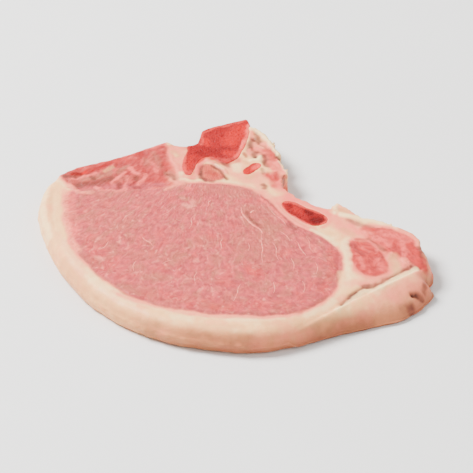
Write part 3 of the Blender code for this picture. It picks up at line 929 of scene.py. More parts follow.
TAIL_MARKS = strokes(
    ("fat_pink", [(37.6, 10), (41, 6.6), (44, 4)], 2.2, 0.6),
    ("fat_white_and_highlight", [(39.4, -12), (40.4, -20), (40.6, -30), (40, -38)], 1.3, 0.7),
    ("fat_pink", [(37, 2), (41, -3), (46, -8)], 3.4, 1),
    ("lean_pale", [(42, -1), (45, -5), (48, -8)], 1.5, 0.5),
    ("lean_tan_and_shade", [(40.6, 1.6), (44.6, -0.8), (48.6, -2.6)], 1.1, 0.9),
    ("fat_tan", [(39, -4), (42.6, -7)], 1.4, 0.6),
    ("cap", [(43.6, -9.6), (46.6, -10.4), (49.4, -12.6)], 0.9, 0.7),
    ("tail", [(46.6, -3.4), (49, -4.8), (52, -5.4)], 1.5, 0.8),
    ("tail", [(50, -9), (54.6, -14.6), (56.6, -18.6)], 3, 0.75),
    ("lean_pale", [(52.6, -6.6), (58, -8.4), (62, -10.6)], 2.2, 0.55),
    ("lean_pale", [(49.8, -9.4), (53.6, -11.4), (55, -14)], 1.3, 0.75, 0.12),
    ("fat_tan", [(38, 7.8), (40, 6.4)], 1.3, 0.85),
    ("fat_white_and_highlight", [(35.8, 5.4), (36, 9), (36.6, 11)], 0.8, 0.9, 0.3),
    ("fat_white_and_highlight", [(38.4, 5), (42, 3.4), (46, 2), (51, 1), (55, -0.6), (58.4, -3.2)], 1.2, 1, 0.4),
    ("fat_pink", [(58.4, -3.6), (62, -6.4), (65, -9.6)], 0.7, 0.9, 0.2),
    ("brown_tissue_and_shade", [(47.8, -9.8), (49.6, -12), (52, -15.4), (53.4, -17)], 0.8, 0.6),
    ("lean_deep", [(57.6, -15.4), (60.6, -21)], 1.3, 0.35),
    ("lean_pale", [(59.6, -12), (61, -17), (60.4, -21)], 0.9, 0.6, 0.1),
    ("bone_bright", [(63, -13), (64.6, -18)], 1.6, 0.25),
    ("lean_pale", [(48, -11.6), (50.4, -14), (51, -17)], 0.8, 0.6, 0.15),
    ("fat_pink", [(55.4, -18.6), (54.8, -22)], 0.8, 0.8, 0.1),
    ("lean_deep", [(41.8, -13), (43.6, -17.4), (46, -20)], 1.1, 0.6),
    ("lean_pale", [(51.6, -23), (52.4, -28)], 1.6, 0.4),
    ("lean_pale", [(44.8, -22), (46.4, -28)], 1, 0.5),
    ("fat_tan", [(56.6, -20.4), (57, -27)], 1.9, 0.7, 0.1),
    ("fat_pink", [(60, -22.6), (62, -25.6)], 1.5, 0.9, 0.1),
    ("tail", [(64.6, -18), (65.6, -24.6)], 1.7, 0.8),
    ("brown_tissue_and_shade", [(66.2, -15), (66.7, -18), (66.8, -20.6)], 1, 0.85, -0.1),
    ("tail", [(67.6, -21.4), (67.8, -26)], 1.2, 0.9),
    ("fat_pink", [(68.4, -16.6), (69.1, -20), (69.6, -24)], 0.55, 0.9),
    ("pit", [(68.4, -28.6), (67.6, -29.6)], 0.8, 0.6, -0.15),
    ("fat", [(38.8, -31), (38.9, -41)], 1.5, 0.7),
    ("fat_pink", [(41, -37), (44, -35.6), (48, -34)], 2.2, 0.6),
    ("fat_pink", [(45.8, -36.8), (50, -36), (53.6, -33)], 1.5, 0.9, -0.1),
    ("lean_tan_and_shade", [(46.8, -37.4), (50.4, -36.8)], 0.8, 0.7, -0.1),
    ("fat_white_and_highlight", LIP, 1.1, 1, 0.4),
    # Painted shadow along the seam's groove: a soft tan band and a dark line in it
    ("lean_tan_and_shade", SEAM, 1.3, 0.5),
    ("seam", SEAM, 0.5, 0.8, -0.4),
    ("seam", [(46.4, -38), (48.4, -37)], 0.9, 0.8, -0.2),
    ("seam", [(41, -44.4), (43.6, -41.4)], 0.7, 0.7, -0.2),
    ("lean_tan_and_shade", [(55, -40), (60, -36.4), (65.6, -31.4)], 2.6, 0.3),
    ("fat_pink", [(57, -41), (62, -36), (66, -31)], 3, 0.7),
    # Brown pits at the end of the flap: painted shade in the recesses, over browned tissue
    ("brown_tissue_and_shade", [(66.4, -37.6), (63.6, -38.8)], 1, 0.9, -0.5),
    ("pit", [(64.4, -38.4), (63.4, -39)], 0.8, 0.9, -0.4),
    ("brown_tissue_and_shade", [(63, -42.6), (60, -44.6)], 1.2, 0.9, -0.4),
    ("brown_tissue_and_shade", [(67.6, -32.2), (67.2, -35.6)], 0.7, 0.7, -0.3),
    ("fat_side_tan_and_shade", [(52, -49.4), (60, -44.4)], 1.6, 0.7),
)
FAT_MARKS = strokes(
    # Painted highlight along the rounded left edge of the outer fat
    ("fat_white_and_highlight", [(-66.4, 29), (-69, 22), (-69.4, 12), (-68, 2), (-65.6, -7)], 1.1, 0.7),
    ("fat_tan", [(-66.2, 22), (-66.6, 8), (-65, -4), (-61.6, -13)], 0.9, 0.4),
    ("fat_white_and_highlight", [(-64.2, 16), (-64, 4), (-61.8, -8), (-59.6, -16), (-55.6, -25),
        (-49.6, -34)], 1.3, 0.35),
    ("fat_pink", [(-62.4, -6), (-59, -16), (-53, -27)], 1.2, 0.4),
    ("fat_tan", [(-60, -21.6), (-54.6, -31.6), (-50, -37.6)], 1.2, 0.45),
    ("fat_white_and_highlight", [(-49.6, -35), (-42, -43), (-34, -49)], 1.4, 0.6),
    ("fat_pink", [(-42, -42.4), (-32, -49.6)], 1, 0.4),
    ("fat_white_and_highlight", [(-20, -57), (-14, -58)], 1.4, 0.6),
    ("fat_pink", [(-8, -60), (-2, -60.4)], 1.6, 0.4),
    ("fat_white_and_highlight", [(0, -58.6), (8, -58.8)], 1.4, 0.6),
    ("fat_tan", [(-14, -61.4), (-4, -62.6), (4, -63)], 1.4, 0.5),
    ("fat_tan", [(12, -61), (22, -59), (30, -55.6)], 2, 0.45),
    ("fat_pink", [(20, -57), (27, -53.6), (33, -48)], 0.9, 0.5),
    ("fat_white_and_highlight", [(26, -55), (32, -51), (36, -46.6)], 1.2, 0.6),
)
LOIN_MARKS = strokes(
    ("lean_tan_and_shade", [(8, 4), (12, -6), (9, -20)], 7, 0.4),
    ("lean_tan_and_shade", [(-48, 8), (-40, -4)], 6, 0.2),
    ("tail", [(-30, -43), (-6, -50.4), (18, -50)], 3, 0.3),
    ("tail", [(-6, -51.6), (-1, -52)], 1.6, 0.6),
    ("tail", [(35, -18), (35.6, -30), (32, -41)], 2, 0.5),
    ("tail", [(-50, -12), (-44, -26)], 4, 0.3),
    ("lean_tan_and_shade", [(-12, 21), (6, 18)], 3.4, 0.35),
    ("fat", [(-64.6, 22), (-63.6, 10), (-62.6, 0), (-60.6, -8)], 1.8, 1),
    ("fat_pink", [(-62, 20), (-61, 10), (-60.2, 0), (-58.2, -9), (-55.4, -17)], 1.3, 0.85),
    ("lean_pale", [(-59.6, 17), (-58.4, 4), (-56.6, -8)], 1.6, 0.5),
    ("fat_pink", [(-40, -43.6), (-28, -50.4), (-16, -55), (-4, -57), (10, -57.4), (20, -56),
        (28, -51.6)], 0.9, 0.8),
    ("lean_deep", [(-54, -20), (-47.4, -31.6), (-38, -42.6), (-24, -51), (-8, -54.4)], 0.8, 0.5),
    ("lean_deep", [(-8, -54.4), (12, -55.6), (24, -53.4), (33, -45.6)], 0.8, 0.45),
    ("lean_deep", [(36.8, -20), (36.6, -32)], 0.7, 0.4),
    ("brown_tissue_and_shade", [(4.6, 5.6), (5.1, 2.6), (7.4, -0.4), (9.6, -3)], 0.75, 0.75, -0.12),
    ("lean_tan_and_shade", [(10.6, 0), (13, -6)], 1.8, 0.6),
    ("brown_tissue_and_shade", [(19.8, -2.4), (21.4, -3.6)], 1.5, 0.65),
    ("lean_deep", [(11.4, 14), (14.4, 9), (17.4, 3.6), (20.4, -0.6)], 0.8, 0.6),
    ("lean_pale", [(9, 14.6), (12.4, 10), (15.4, 5), (18, 0.4)], 0.7, 0.7, 0.1),
    ("brown_tissue_and_shade", [(-18.8, 24.4), (-18.2, 23.2)], 1, 0.7, -0.1),
    ("lean_pale", [(-17.8, 22), (-17.2, 20.6)], 1.2, 0.6),
    ("lean_tan_and_shade", [(-19.4, 15.4), (-18, 14.6)], 1.6, 0.8),
    ("marbling", [(-18.3, 10.6), (-16.4, 9.4)], 1.3, 0.8),
    ("marbling", [(-15.2, 12.6), (-14.8, 10)], 1, 0.6),
    ("marbling", [(-48.4, -21.4), (-46.8, -22)], 1.1, 0.6),
    ("lean_pale", [(24, -10), (28, -14.6), (31, -20)], 0.8, 0.4),
    ("tail", [(7, -29), (9, -32)], 2.4, 0.5),
)
TOP_MARKS = (
    FAT_MARKS + LOIN_MARKS + BACK_EDGE_MARKS + FAT_COLUMN_MARKS + GRISTLE_MARKS + RIB_MARKS + TAIL_MARKS
)

SIDE_MARKS = strokes(
    ("fat_stain_and_shade", [(-12, -64), (-3, -65.6)], 3, 0.45),
    ("fat_stain_and_shade", [(2, -66), (8, -66.4)], 2.4, 0.5),
    ("fat_stain_and_shade", [(30, -58.4), (44, -52.6)], 4, 0.6),
    ("fat_stain_and_shade", [(-30, -56), (-26, -58)], 2.6, 0.4),
    ("fat_pink", [(10, -66), (18, -64.6)], 3, 0.4),
)

BONE_MARKS = {
    "chine_bone": strokes(
        ("marrow", [(-14.2, 44.6), (-12.4, 43.6), (-11, 42.8)], 1.3, 0.85),
        ("bone_deep", [(-13, 46.4), (-8, 45), (-4, 47)], 2.2, 0.4),
        ("bone_bright", [(1, 60), (-1, 56.4), (-2.4, 52)], 3.2, 0.8),
        ("bone_bright", [(-11.6, 53), (-11, 49.6)], 1.1, 0.8),
        ("bone_bright", [(-4, 45), (-1.4, 43.4)], 1.6, 0.5),
        ("bone_bright", [(-16.6, 42), (-17.2, 35)], 1.2, 0.5),
        ("bone_rim", [(-13.2, 50), (-13, 57), (-9.4, 60), (-3, 62.8), (2.4, 65.6)], 0.6, 0.5, 0.1),
        ("bone_rim", [(-19, 45), (-19.1, 37), (-18.6, 32)], 0.7, 0.6, 0.1),
        ("bone_rim", [(4, 62.4), (3.6, 55), (2.4, 49), (1.2, 44.4), (0, 41.4)], 1.1, 0.95, 0.15),
        ("fat_pink", [(4, 62), (4, 55), (3, 50)], 0.55, 0.7, 0.1),
        ("lean_pale", [(2.2, 52.4), (1.2, 47)], 0.6, 0.7),
        ("tail", [(-17.6, 31), (-16.4, 32)], 1.3, 0.7),
        ("tail", [(-7, 40.8), (-3, 39.6), (0, 41)], 0.9, 0.6),
    ),
    "bone_chip": strokes(
        ("bone_bright", [(2.6, 31.6), (5, 33)], 1.5, 0.8),
        ("bone_rim", [(6.6, 34.8), (8.4, 37)], 1.4, 0.95),
    ),
    "rib_bone": strokes(
        ("bone", [(17.4, 11.4), (22, 8.6), (25, 4)], 1.8, 0.7),
        ("bone_bright", [(21, 9.4), (24, 6.4)], 1.3, 0.45),
        ("marrow_deep", [(26, 7), (27, 5.4)], 1.5, 0.85),
        ("marrow_deep", [(28.4, 1.6), (30.6, 1.4)], 1.9, 0.9),
        ("marrow_deep", [(19.6, 10.8), (20.2, 9.6)], 0.8, 0.6),
        ("bone_rim", [(17, 12.8), (20, 12.9), (25.4, 9.6), (30.6, 5.8)], 0.6, 0.6),
        ("bone_rim", [(16.6, 11), (18, 7), (21.6, 2.6), (26.4, -1.6)], 0.6, 0.8, 0.1),
        ("bone_rim", [(33, 3.4), (33.4, 1), (31.4, -1.6)], 0.8, 0.7),
    ),
}

# Lines of marbling in the loin eye: route and half width in millimetres
MARBLING = [
    ([(2.2, 8.8), (2.5, 5.2), (4.2, 1.4), (6.4, -1.8), (9.4, -4.6), (10.2, -7.4)], 0.42),
    ([(9.9, -7.6), (9.6, -12), (10.5, -16.4), (10, -21), (10.6, -26)], 0.24),
    ([(6.9, 6.8), (6.1, 6.2), (5.6, 5.2)], 0.45),
    ([(4.1, 11.2), (3.5, 10.3), (3.6, 9.2)], 0.3),
    ([(-32.8, -9.2), (-31.4, -11.6), (-29.6, -12.6), (-28.9, -14.8)], 0.3),
    ([(-3.8, -10.4), (-4.9, -13), (-4.2, -15.4), (-4.6, -18)], 0.22),
    ([(2.9, -38), (2.1, -40.4), (2, -43.6), (0.7, -48)], 0.22),
    ([(21.6, -11.6), (22.9, -13), (23.4, -15.8), (25.8, -20.4)], 0.22),
    ([(-8.8, 13.8), (-9.7, 12.6), (-9.4, 11), (-10.1, 9.6)], 0.26),
    ([(-25, -26.4), (-23.6, -24.6), (-21.2, -23.8)], 0.22),
    ([(12.6, 8), (14.2, 4.6), (17, 1.6), (18.6, -2.4)], 0.18),
    ([(16.4, -6), (18.8, -8.6), (20, -12.2)], 0.2),
    ([(25.4, -8.6), (27, -12.4), (26.8, -15.6), (28.6, -19)], 0.18),
    ([(13.8, -12.8), (15.4, -16.4), (15, -20.2), (16.2, -23.6)], 0.18),
    ([(20.4, -22), (21.8, -25.6), (21.2, -29.4)], 0.2),
    ([(29, -24.4), (30.2, -28), (29.4, -31.6)], 0.18),
    ([(5, -12.6), (5.8, -15.8), (5.2, -18.4)], 0.18),
    ([(-14.6, 4), (-15.8, 1.4), (-15, -1.8), (-16.2, -4.6)], 0.18),
    ([(-22.4, 8.6), (-23.8, 5.8), (-26.4, 3.8)], 0.18),
    ([(-36.8, 6.2), (-39, 3.6), (-40.2, 0.6)], 0.2),
    ([(-44.6, -12.2), (-45.4, -15.2), (-47.6, -17)], 0.2),
    ([(-34.2, -24), (-35.4, -27.2), (-34.8, -30.4)], 0.18),
    ([(-12.4, -30.6), (-13.6, -33.8), (-13, -37.4)], 0.2),
    ([(14.4, -36.8), (15.2, -40.2), (14.6, -43.4)], 0.2),
    ([(24.6, -36), (25.8, -39.4), (25, -43)], 0.18),
]


# ---------------------------------------------------------------- flesh

def signed_depth(points, outline, rim):
    """Depth inside an outline, negative outside. Where the outline follows the rim it doesn't count."""
    fine = resample(outline, 0.3)
    _, from_rim = nearest_of(fine, rim)
    _, depth = nearest_of(points, fine[from_rim > 0.7])
    return np.where(is_inside(points, outline), depth, -depth)


def grain_place(points, seed):
    """Places across and along the strands that fan out from the backbone, in millimetres."""
    offset = points - GRAIN_CENTRE
    turn = np.arctan2(offset[:, 0], -offset[:, 1])
    across = (
        turn * FAN_REACH + 1.6 * noise_at(points, 9.0, seed, 2) + 0.5 * noise_at(points, 2.6, seed + 1)
    )
    down = np.hypot(*offset.T) + 1.6 * noise_at(points, 6.0, seed + 2)
    return np.column_stack([across, down])


def strands_over(place, width, seed, stretch):
    """-1 in the dark strands, 1 on the light ones."""
    return 1.5 * noise_at(place / (width, width * stretch), 1.0, seed, 2)


def flesh_rim(sizes):
    """The outer rim with its small unevenness, and how much each point belongs to the outer fat."""
    corners = [point[2] for point in SLICE]
    rim = smooth_loop([point[:2] for point in SLICE], corners, sizes.top_spacing / MM)
    turn = np.degrees(np.arctan2(rim[:, 1], rim[:, 0])) % 360
    fat_edge = smooth_step(OUTER_FAT[0] - 4, OUTER_FAT[0] + 4, turn)
    fat_edge *= 1 - smooth_step(OUTER_FAT[1] - 6, OUTER_FAT[1] + 6, turn)
    ragged = smooth_step(-6, 4, rim[:, 0]) * (1 - fat_edge)
    wobble = noise_at(rim, 8.0, 1.0, 2) * 0.35 + noise_at(rim, 2.8, 2.0) * 0.16
    rough = noise_at(rim, 2.4, 3.0, 3) * (0.2 + 0.45 * ragged)  # most on the right of the sawn side
    rim = rim + outward_normals(rim) * (wobble * fat_edge + rough * (1 - fat_edge))[:, None]
    return rim, fat_edge, ragged


def flesh_height(points, inset):
    """The top of the flesh: level on the slice, and rolling down over the flap of outer fat."""
    flat = top_height(points)
    past = np.maximum(past_seam(points), 0)
    share = past / (past + inset + 0.01)
    roll = np.maximum(3.0, (LEVEL - 0.2) * np.sqrt(1 - share**2.2))
    return flat + (roll - flat) * smooth_step(0, 1.5, past) * 0.85


def build_flesh(sizes, paint):
    rim, fat_edge, ragged = flesh_rim(sizes)
    rounding = sizes.sawn_rounding / MM + fat_edge * (sizes.fat_rounding - sizes.sawn_rounding) / MM
    slab = Slab(
        rim, sizes.top_spacing / MM, sizes.under_spacing / MM, rounding,
        UNDER_SAWN + fat_edge * UNDER_FAT, flesh_height,
    )
    xy = slab.xy
    on_wall = (slab.part == 1) * 1.0
    space = np.column_stack([xy, slab.z * 1.5])
    drift = np.column_stack([noise_at(space, 4.5, 11.0, 2), noise_at(space, 4.5, 12.0, 2)])
    # The cut side looks like the top a millimetre further in, and strays from it most at half height
    waver = 0.6 + 6.4 * on_wall * slab.share * (1 - slab.share)
    within = xy - slab.normals[slab.nearest] * np.maximum(0, 1 - slab.inset)[:, None]
    warped = np.where(on_wall[:, None] > 0, within, xy) + drift * waver[:, None]
    depth = {node: signed_depth(warped, cad_outline(node), rim) for node in (*MUSCLES, "gristle")}
    bone_depth = np.max([signed_depth(within, cad_outline(node), rim) for node in BONES], axis=0)
    tail_depth = np.maximum(depth["tail_muscle_upper"], depth["tail_muscle_lower"])
    lean_depth = np.maximum.reduce([depth["loin_eye"], depth["cap_muscle"], tail_depth])
    eye = smooth_step(-0.6, 0.5, depth["loin_eye"])
    between = smooth_step(-3.4, -2.2, np.minimum(depth["loin_eye"], depth["cap_muscle"]))
    cap = np.maximum(smooth_step(-1.1, 0.3, depth["cap_muscle"]), between) * (1 - eye)
    inner = smooth_step(-0.4, 0.6, depth["inner_muscle"])
    tail = smooth_step(-0.7, 0.7, tail_depth)
    gristle = smooth_step(-1.0, 1.0, depth["gristle"])
    place = grain_place(xy, 21.0)
    grain = strands_over(place, sizes.grain_width / MM, 24.0, 2.4)
    strands = strands_over(xy @ CAP_TURN, 1.9, 27.0, 2.4)
    fields = {
        "eye": eye, "cap": cap, "inner": inner, "tail": tail, "gristle": gristle,
        "grain": grain, "strands": strands, "lean_depth": lean_depth,
        "bands": strands_over(place, 3.2, 33.0, 2.2),
    }
    raise_flesh(slab, fields, warped, bone_depth, sizes)
    push_walls(slab, fat_edge[slab.nearest], ragged[slab.nearest], bone_depth, sizes)
    outer = np.where(slab.part == 1, 1.0, 1 - smooth_step(0.4, 3.4, slab.inset)) * fat_edge[slab.nearest]
    outer = np.maximum(outer, smooth_step(4.0, 12.0, past_seam(xy)))
    turn = np.degrees(np.arctan2(xy[:, 1], xy[:, 0])) % 360
    # The front of the outer fat, where painted shade is laid
    fields["front"] = smooth_step(226, 262, turn) * fat_edge[slab.nearest]
    fields["outer"] = np.where(slab.part == 2, outer * (1 - smooth_step(0.5, 3.0, slab.inset)), outer)
    fields["low"] = np.clip(1 - slab.z / LEVEL, 0, 1)
    tint = tint_flesh(slab, fields, warped, paint)
    numbers = {
        "meat": np.clip(eye + cap + tail + inner, 0, 1),
        "eye": eye,
        "grain": np.column_stack([place, slab.z]),
    }
    return slab.make("chop_flesh", flesh_finish(paint), numbers, tint)


def raise_flesh(slab, fields, warped, bone_depth, sizes):
    """The fine relief of the top and the underside."""
    xy, settle = slab.xy, smooth_step(0.0, 1.2, slab.inset)
    bones = smooth_step(0.0, 0.4, bone_depth)
    meat = np.clip(fields["eye"] + fields["cap"] + fields["tail"], 0, 1)
    lift = sum(stroke.lift * stroke.cover(warped) for stroke in TOP_MARKS if stroke.lift)
    relief = (
        fields["grain"] * fields["eye"] * sizes.grain_relief / MM
        + fields["strands"] * fields["cap"] * sizes.strand_relief / MM
        + fields["grain"] * fields["tail"] * 0.14
        + 0.1 * meat
        - 0.12 * np.exp(-((fields["lean_depth"] / 0.8) ** 2))
        + noise_at(xy, 8.0, 60.0, 2) * 0.15
        + noise_at(xy, 2.6, 61.0, 2) * 0.09 * (1 - meat)
        + noise_at(xy, 2.6, 62.0, 2) * 0.5 * fields["gristle"]
        + noise_at(xy, 4.5, 63.0, 2) * 0.3 * fields["cap"]
        + lift
    )
    slab.z = np.where(slab.part == 0, slab.z + relief * settle - bones * 0.6, slab.z)
    hollow = 0.05 + 0.05 * noise_at(xy, 5.0, 70.0) + bones * 0.3
    slab.z = np.where(slab.part == 2, slab.z + hollow * smooth_step(0, 2.0, slab.inset), slab.z)


def push_walls(slab, soft, ragged, bone_depth, sizes):
    """Swells the outer fat and roughens the sawn edges."""
    space = np.column_stack([slab.xy, slab.z])
    swell = 4 * slab.share * (1 - slab.share)
    wrinkle = noise_at(space * (1, 1, 2.0), 3.4, 80.0, 2) * 0.32 + noise_at(space, 1.3, 81.0) * 0.08
    push = soft * swell * (sizes.fat_bulge / MM + wrinkle)
    push += (1 - soft) * swell * noise_at(space * (1, 1, 0.5), 1.9, 82.0, 2) * (0.25 + 0.3 * ragged)
    # Where a bone stands in the cut side, the flesh draws back behind it
    behind_bone = smooth_step(-0.2, 0.4, bone_depth) * (1 - smooth_step(0.0, 2.2, slab.inset))
    slab.offset = slab.normals[slab.nearest] * (push * (slab.part == 1) - behind_bone * 1.1)[:, None]


def tint_flesh(slab, fields, warped, paint):
    """The colour of every point of the flesh."""
    space = np.column_stack([slab.xy, slab.z])
    patch, blotch, mottle = (
        noise_at(space, size, seed, 2) for size, seed in ((15, 90.0), (6.5, 91.0), (2.6, 92.0))
    )
    out = -fields["lean_depth"] / (1 + smooth_step(40, 44, slab.xy[:, 0]) * 0.8)
    tint = Tint(len(space), paint.fat)
    tint.lay(paint.fat_tan, smooth_step(0.0, 0.6, patch) * smooth_step(2.5, 6, out) * 0.55)
    tint.lay(paint.fat_pink, smooth_step(-0.3, 0.7, blotch) * 0.5)
    tint.lay(paint.fat_white_and_highlight, smooth_step(-0.1, 0.7, mottle) * 0.35)
    tint.lay(paint.fat_white_and_highlight, np.exp(-(((out - 2.0) / 1.0) ** 2)) * 0.35)
    tint.lay(paint.fat_pink, (1 - smooth_step(0.5, 2.2, out)) * 0.8)
    tint.lay(paint.lean_pale, (1 - smooth_step(0.2, 1.1, out)) * 0.6)

    outer, low = fields["outer"], fields["low"]
    side = Tint(len(space), paint.fat_side_tan_and_shade)
    side.lay(paint.fat_pink, smooth_step(-0.2, 0.6, blotch) * 0.45)
    side.lay(paint.fat_tan, smooth_step(0.0, 0.6, mottle) * 0.3)
    # The left of the outer fat turns cream and its front stays tan: partly the fat's own colour, partly
    # painted shade on the front
    side.lay(paint.fat, (1 - fields["front"]) * (0.62 + 0.25 * mottle))
    for stroke in SIDE_MARKS:
        side.lay(getattr(paint, stroke.colour), stroke.cover(slab.xy) * smooth_step(-0.9, 0.5, mottle))
    # Painted shade: the front of the outer fat darker and browner towards the bottom, and the top of the
    # side lighter
    side.lay(paint.fat_stain_and_shade, smooth_step(0.3, 0.9, low) * 0.7 * fields["front"])
    side.lay(paint.fat, smooth_step(0.4, 0.0, low) * smooth_step(-0.6, 0.5, blotch) * 0.5)
    flap = smooth_step(2.0, 7.0, past_seam(slab.xy))
    tint.lay(paint.fat_pink, flap * (0.5 + 0.4 * blotch))
    laid = outer * smooth_step(-0.05, 0.22, low + 0.06 * fields["front"]) * 0.95
    tint.values += (side.values - tint.values) * laid[:, None]

    tint.lay(paint.gristle, fields["gristle"] * 0.95)
    tint.lay(paint.fat, fields["gristle"] * smooth_step(0.1, 0.7, mottle) * 0.5)
    tint.lay(paint.tail, fields["gristle"] * smooth_step(0.1, 0.8, -blotch) * 0.6)

    light, dark = smooth_step(0.0, 0.9, fields["grain"]), smooth_step(0.0, 0.9, -fields["grain"])
    for name, colour, share in (
        ("eye", paint.lean, 1.0), ("inner", paint.tail, 0.7), ("tail", paint.tail, 1.0),
    ):
        tint.lay(colour, fields[name] * share)
        tint.lay(paint.lean_deep, fields[name] * (dark * 0.3 + smooth_step(0.0, 0.8, -mottle) * 0.25))
        tint.lay(paint.lean_pale, fields[name] * (light * 0.3 + smooth_step(0.1, 0.8, mottle) * 0.25))
    tint.lay(paint.lean_tan_and_shade, fields["eye"] * smooth_step(0.0, 0.9, fields["bands"]) * 0.55)
    tint.lay(paint.tail, fields["eye"] * smooth_step(0.1, 0.9, -fields["bands"]) * 0.3)
    strands = fields["strands"]
    tint.lay(paint.cap, fields["cap"])
    tint.lay(paint.lean_deep, fields["cap"] * smooth_step(0.1, 0.9, -strands) * 0.4)
    tint.lay(paint.lean_pale, fields["cap"] * smooth_step(0.1, 0.9, strands) * 0.4)
    tint.lay(paint.lean_tan_and_shade, fields["cap"] * smooth_step(0.1, 0.8, blotch) * 0.35)

    shown = np.choose(slab.part, [1.0, np.clip(1 - slab.share * 0.5, 0, 1), 0.6])
    for stroke in TOP_MARKS:
        tint.lay(getattr(paint, stroke.colour), stroke.cover(warped) * shown * (0.9 + 0.3 * mottle))
    return tint.values


def sharp_turns(outline):
    """True at each point where an outline turns sharply."""
    leaving = np.roll(outline, -1, axis=0) - outline
    leaving /= np.linalg.norm(leaving, axis=1, keepdims=True)
    arriving = np.roll(leaving, 1, axis=0)
    return (leaving * arriving).sum(1) < math.cos(SHARP_TURN)


def build_bone(name, node, base, material, sizes, paint, seed):
    outline = cad_outline(node)
    rim = smooth_loop(outline, sharp_turns(outline), BONE_SPACING)
    rim = rim + outward_normals(rim) * (0.22 + 0.2 * noise_at(rim, 3.0, seed + 4, 2))[:, None]
    lift = sizes.bone_lift / MM
    ones = np.ones(len(rim))
    slab = Slab(
        rim, BONE_SPACING, BONE_UNDER_SPACING, ones * BONE_ROUNDING, ones * BONE_UNDER_ROUNDING,
        lambda points, inset: top_height(points) + lift,
    )
    edge = slab.inset + noise_at(slab.xy, 2.0, seed) * 0.4
    hard = np.where(slab.part == 1, 0.6, 1 - smooth_step(0.3, 1.1, edge))
    marks = BONE_MARKS[node]
    drift = np.column_stack([noise_at(slab.xy, 3.0, seed + 5, 2), noise_at(slab.xy, 3.0, seed + 6, 2)])
    warped = slab.xy + drift * 0.5
    relief = noise_at(slab.xy, 3.0, seed, 2) * 0.16 + noise_at(slab.xy, 1.1, seed + 1) * 0.07
    relief = relief - 0.12 * (1 - hard)
    relief = relief + sum(stroke.lift * stroke.cover(warped) for stroke in marks)
    settle = smooth_step(0.0, 0.8, slab.inset)
    slab.z = np.where(slab.part == 0, slab.z + relief * settle, slab.z + BONE_CLEARANCE)
    space = np.column_stack([slab.xy, slab.z])
    push = noise_at(space, 1.5, seed + 2, 2) * 0.15 * (slab.part == 1)
    slab.offset = slab.normals[slab.nearest] * push[:, None]
    mottle = noise_at(space, 2.4, seed + 3, 2)
    tint = Tint(len(space), base)
    tint.lay(paint.bone_bright, smooth_step(0.1, 0.9, mottle) * 0.4)
    tint.lay(paint.bone_deep, smooth_step(0.1, 0.9, -mottle) * 0.4)
    tint.lay(paint.bone_rim, hard * 0.2 + (slab.part == 1) * smooth_step(-0.3, 0.6, mottle) * 0.4)
    shown = np.choose(slab.part, [1.0, np.clip(1 - slab.share * 0.5, 0, 1), 0.6])
    for stroke in marks:
        tint.lay(getattr(paint, stroke.colour), stroke.cover(warped) * shown)
    return slab.make(name, material, {"rim": hard}, tint.values)


# ---------------------------------------------------------------- marbling and fringe

RAY_START = 0.05  # metres above the board, clear of the chop
THREAD_SPACING, THREAD_SINK, THREAD_FLATNESS = 0.35, 0.02, 0.34
FRINGE_SPACING, FRINGE_HEIGHT, LUMP_SIZE = 1.5, 8.2, 0.5
LUMP_SHIFT = (-0.0006, 0.0004)  # metres across the edge and along it
LUMP_RISE = (-0.0012, 0.0012)


def smooth_line(route, spacing):
    """A rounded line along a route, as evenly spaced points."""
    line = np.asarray(route, float)
    for _ in range(3):
        early, late = line[:-1] * 0.75 + line[1:] * 0.25, line[:-1] * 0.25 + line[1:] * 0.75
        line = np.vstack([line[:1], np.stack([early, late], axis=1).reshape(-1, 2), line[-1:]])
    return resample(line, spacing, closed=False)


def surface_height(skin, point):
    """Height of the skin under a point, in metres."""
    start = Vector((point[0] * MM, point[1] * MM, RAY_START))
    hit, place, _, _ = skin.ray_cast(start, Vector((0, 0, -1)))
    if not hit:
        raise ValueError(f"nothing under {point}")
    return place.z


def guide_mesh(name, lines):
    """Open lines of points, in metres, as a mesh of edges."""
    points, edges = [], []
    for line in lines:
        edges += [(len(points) + i, len(points) + i + 1) for i in range(len(line) - 1)]
        points += line
    guide = bpy.data.meshes.new(name)
    guide.from_pydata(points, edges, [])
    return guide


def build_threads(skin, material):
    """Tapered threads of fat, half sunk in the surface."""
    lines, widths = [], []
    for route, half_width in MARBLING:
        line = smooth_line(route, THREAD_SPACING)
        lines.append([(x * MM, y * MM, surface_height(skin, (x, y)) - THREAD_SINK * MM) for x, y in line])
        taper = np.sin(np.linspace(0.06, 0.94, len(line)) * math.pi) ** 0.6
        widths += list(half_width * MM * taper)
    guide = guide_mesh("threads_guide", lines)
    guide.attributes.new("width", "FLOAT", "POINT").data.foreach_set("value", widths)

    r = Recipe("marbling_threads_recipe", Flatness=THREAD_FLATNESS)
    curve = r.add("GeometryNodeMeshToCurve", None, {"Mesh": r.inputs["Geometry"]})
    upright = r.add("GeometryNodeSetCurveNormal", {"mode": "Z_UP"}, {"Curve": curve.outputs[0]})
    circle = r.add("GeometryNodeCurvePrimitiveCircle", None, {"Resolution": 8, "Radius": 1.0})
    flat = r.add("GeometryNodeTransform", None, {
        "Geometry": circle.outputs[0], "Scale": r.vector(1.0, r.size("Flatness"), 1.0),
    })
    tube = r.add("GeometryNodeCurveToMesh", None, {
        "Curve": upright.outputs[0], "Profile Curve": flat.outputs[0], "Fill Caps": True,
        "Scale": r.number("width") * (0.45 + r.noise(1.4)),
    })
    r.close(tube.outputs[0], material)
    return r.run(guide, "marbling_threads")


# Routes along the sawn edges where ragged bits of fat stand out, in millimetres
FRINGE = [
    [(6, 60.6), (10, 56), (13, 50), (15.2, 44.6)],
    [(14.6, 40.6), (16.4, 36.6), (18.2, 32)],
    [(34.4, 8.8), (36.2, 11.4), (39.6, 8.6), (44.6, 4.4), (51, 1.8), (57, -1.8)],
]


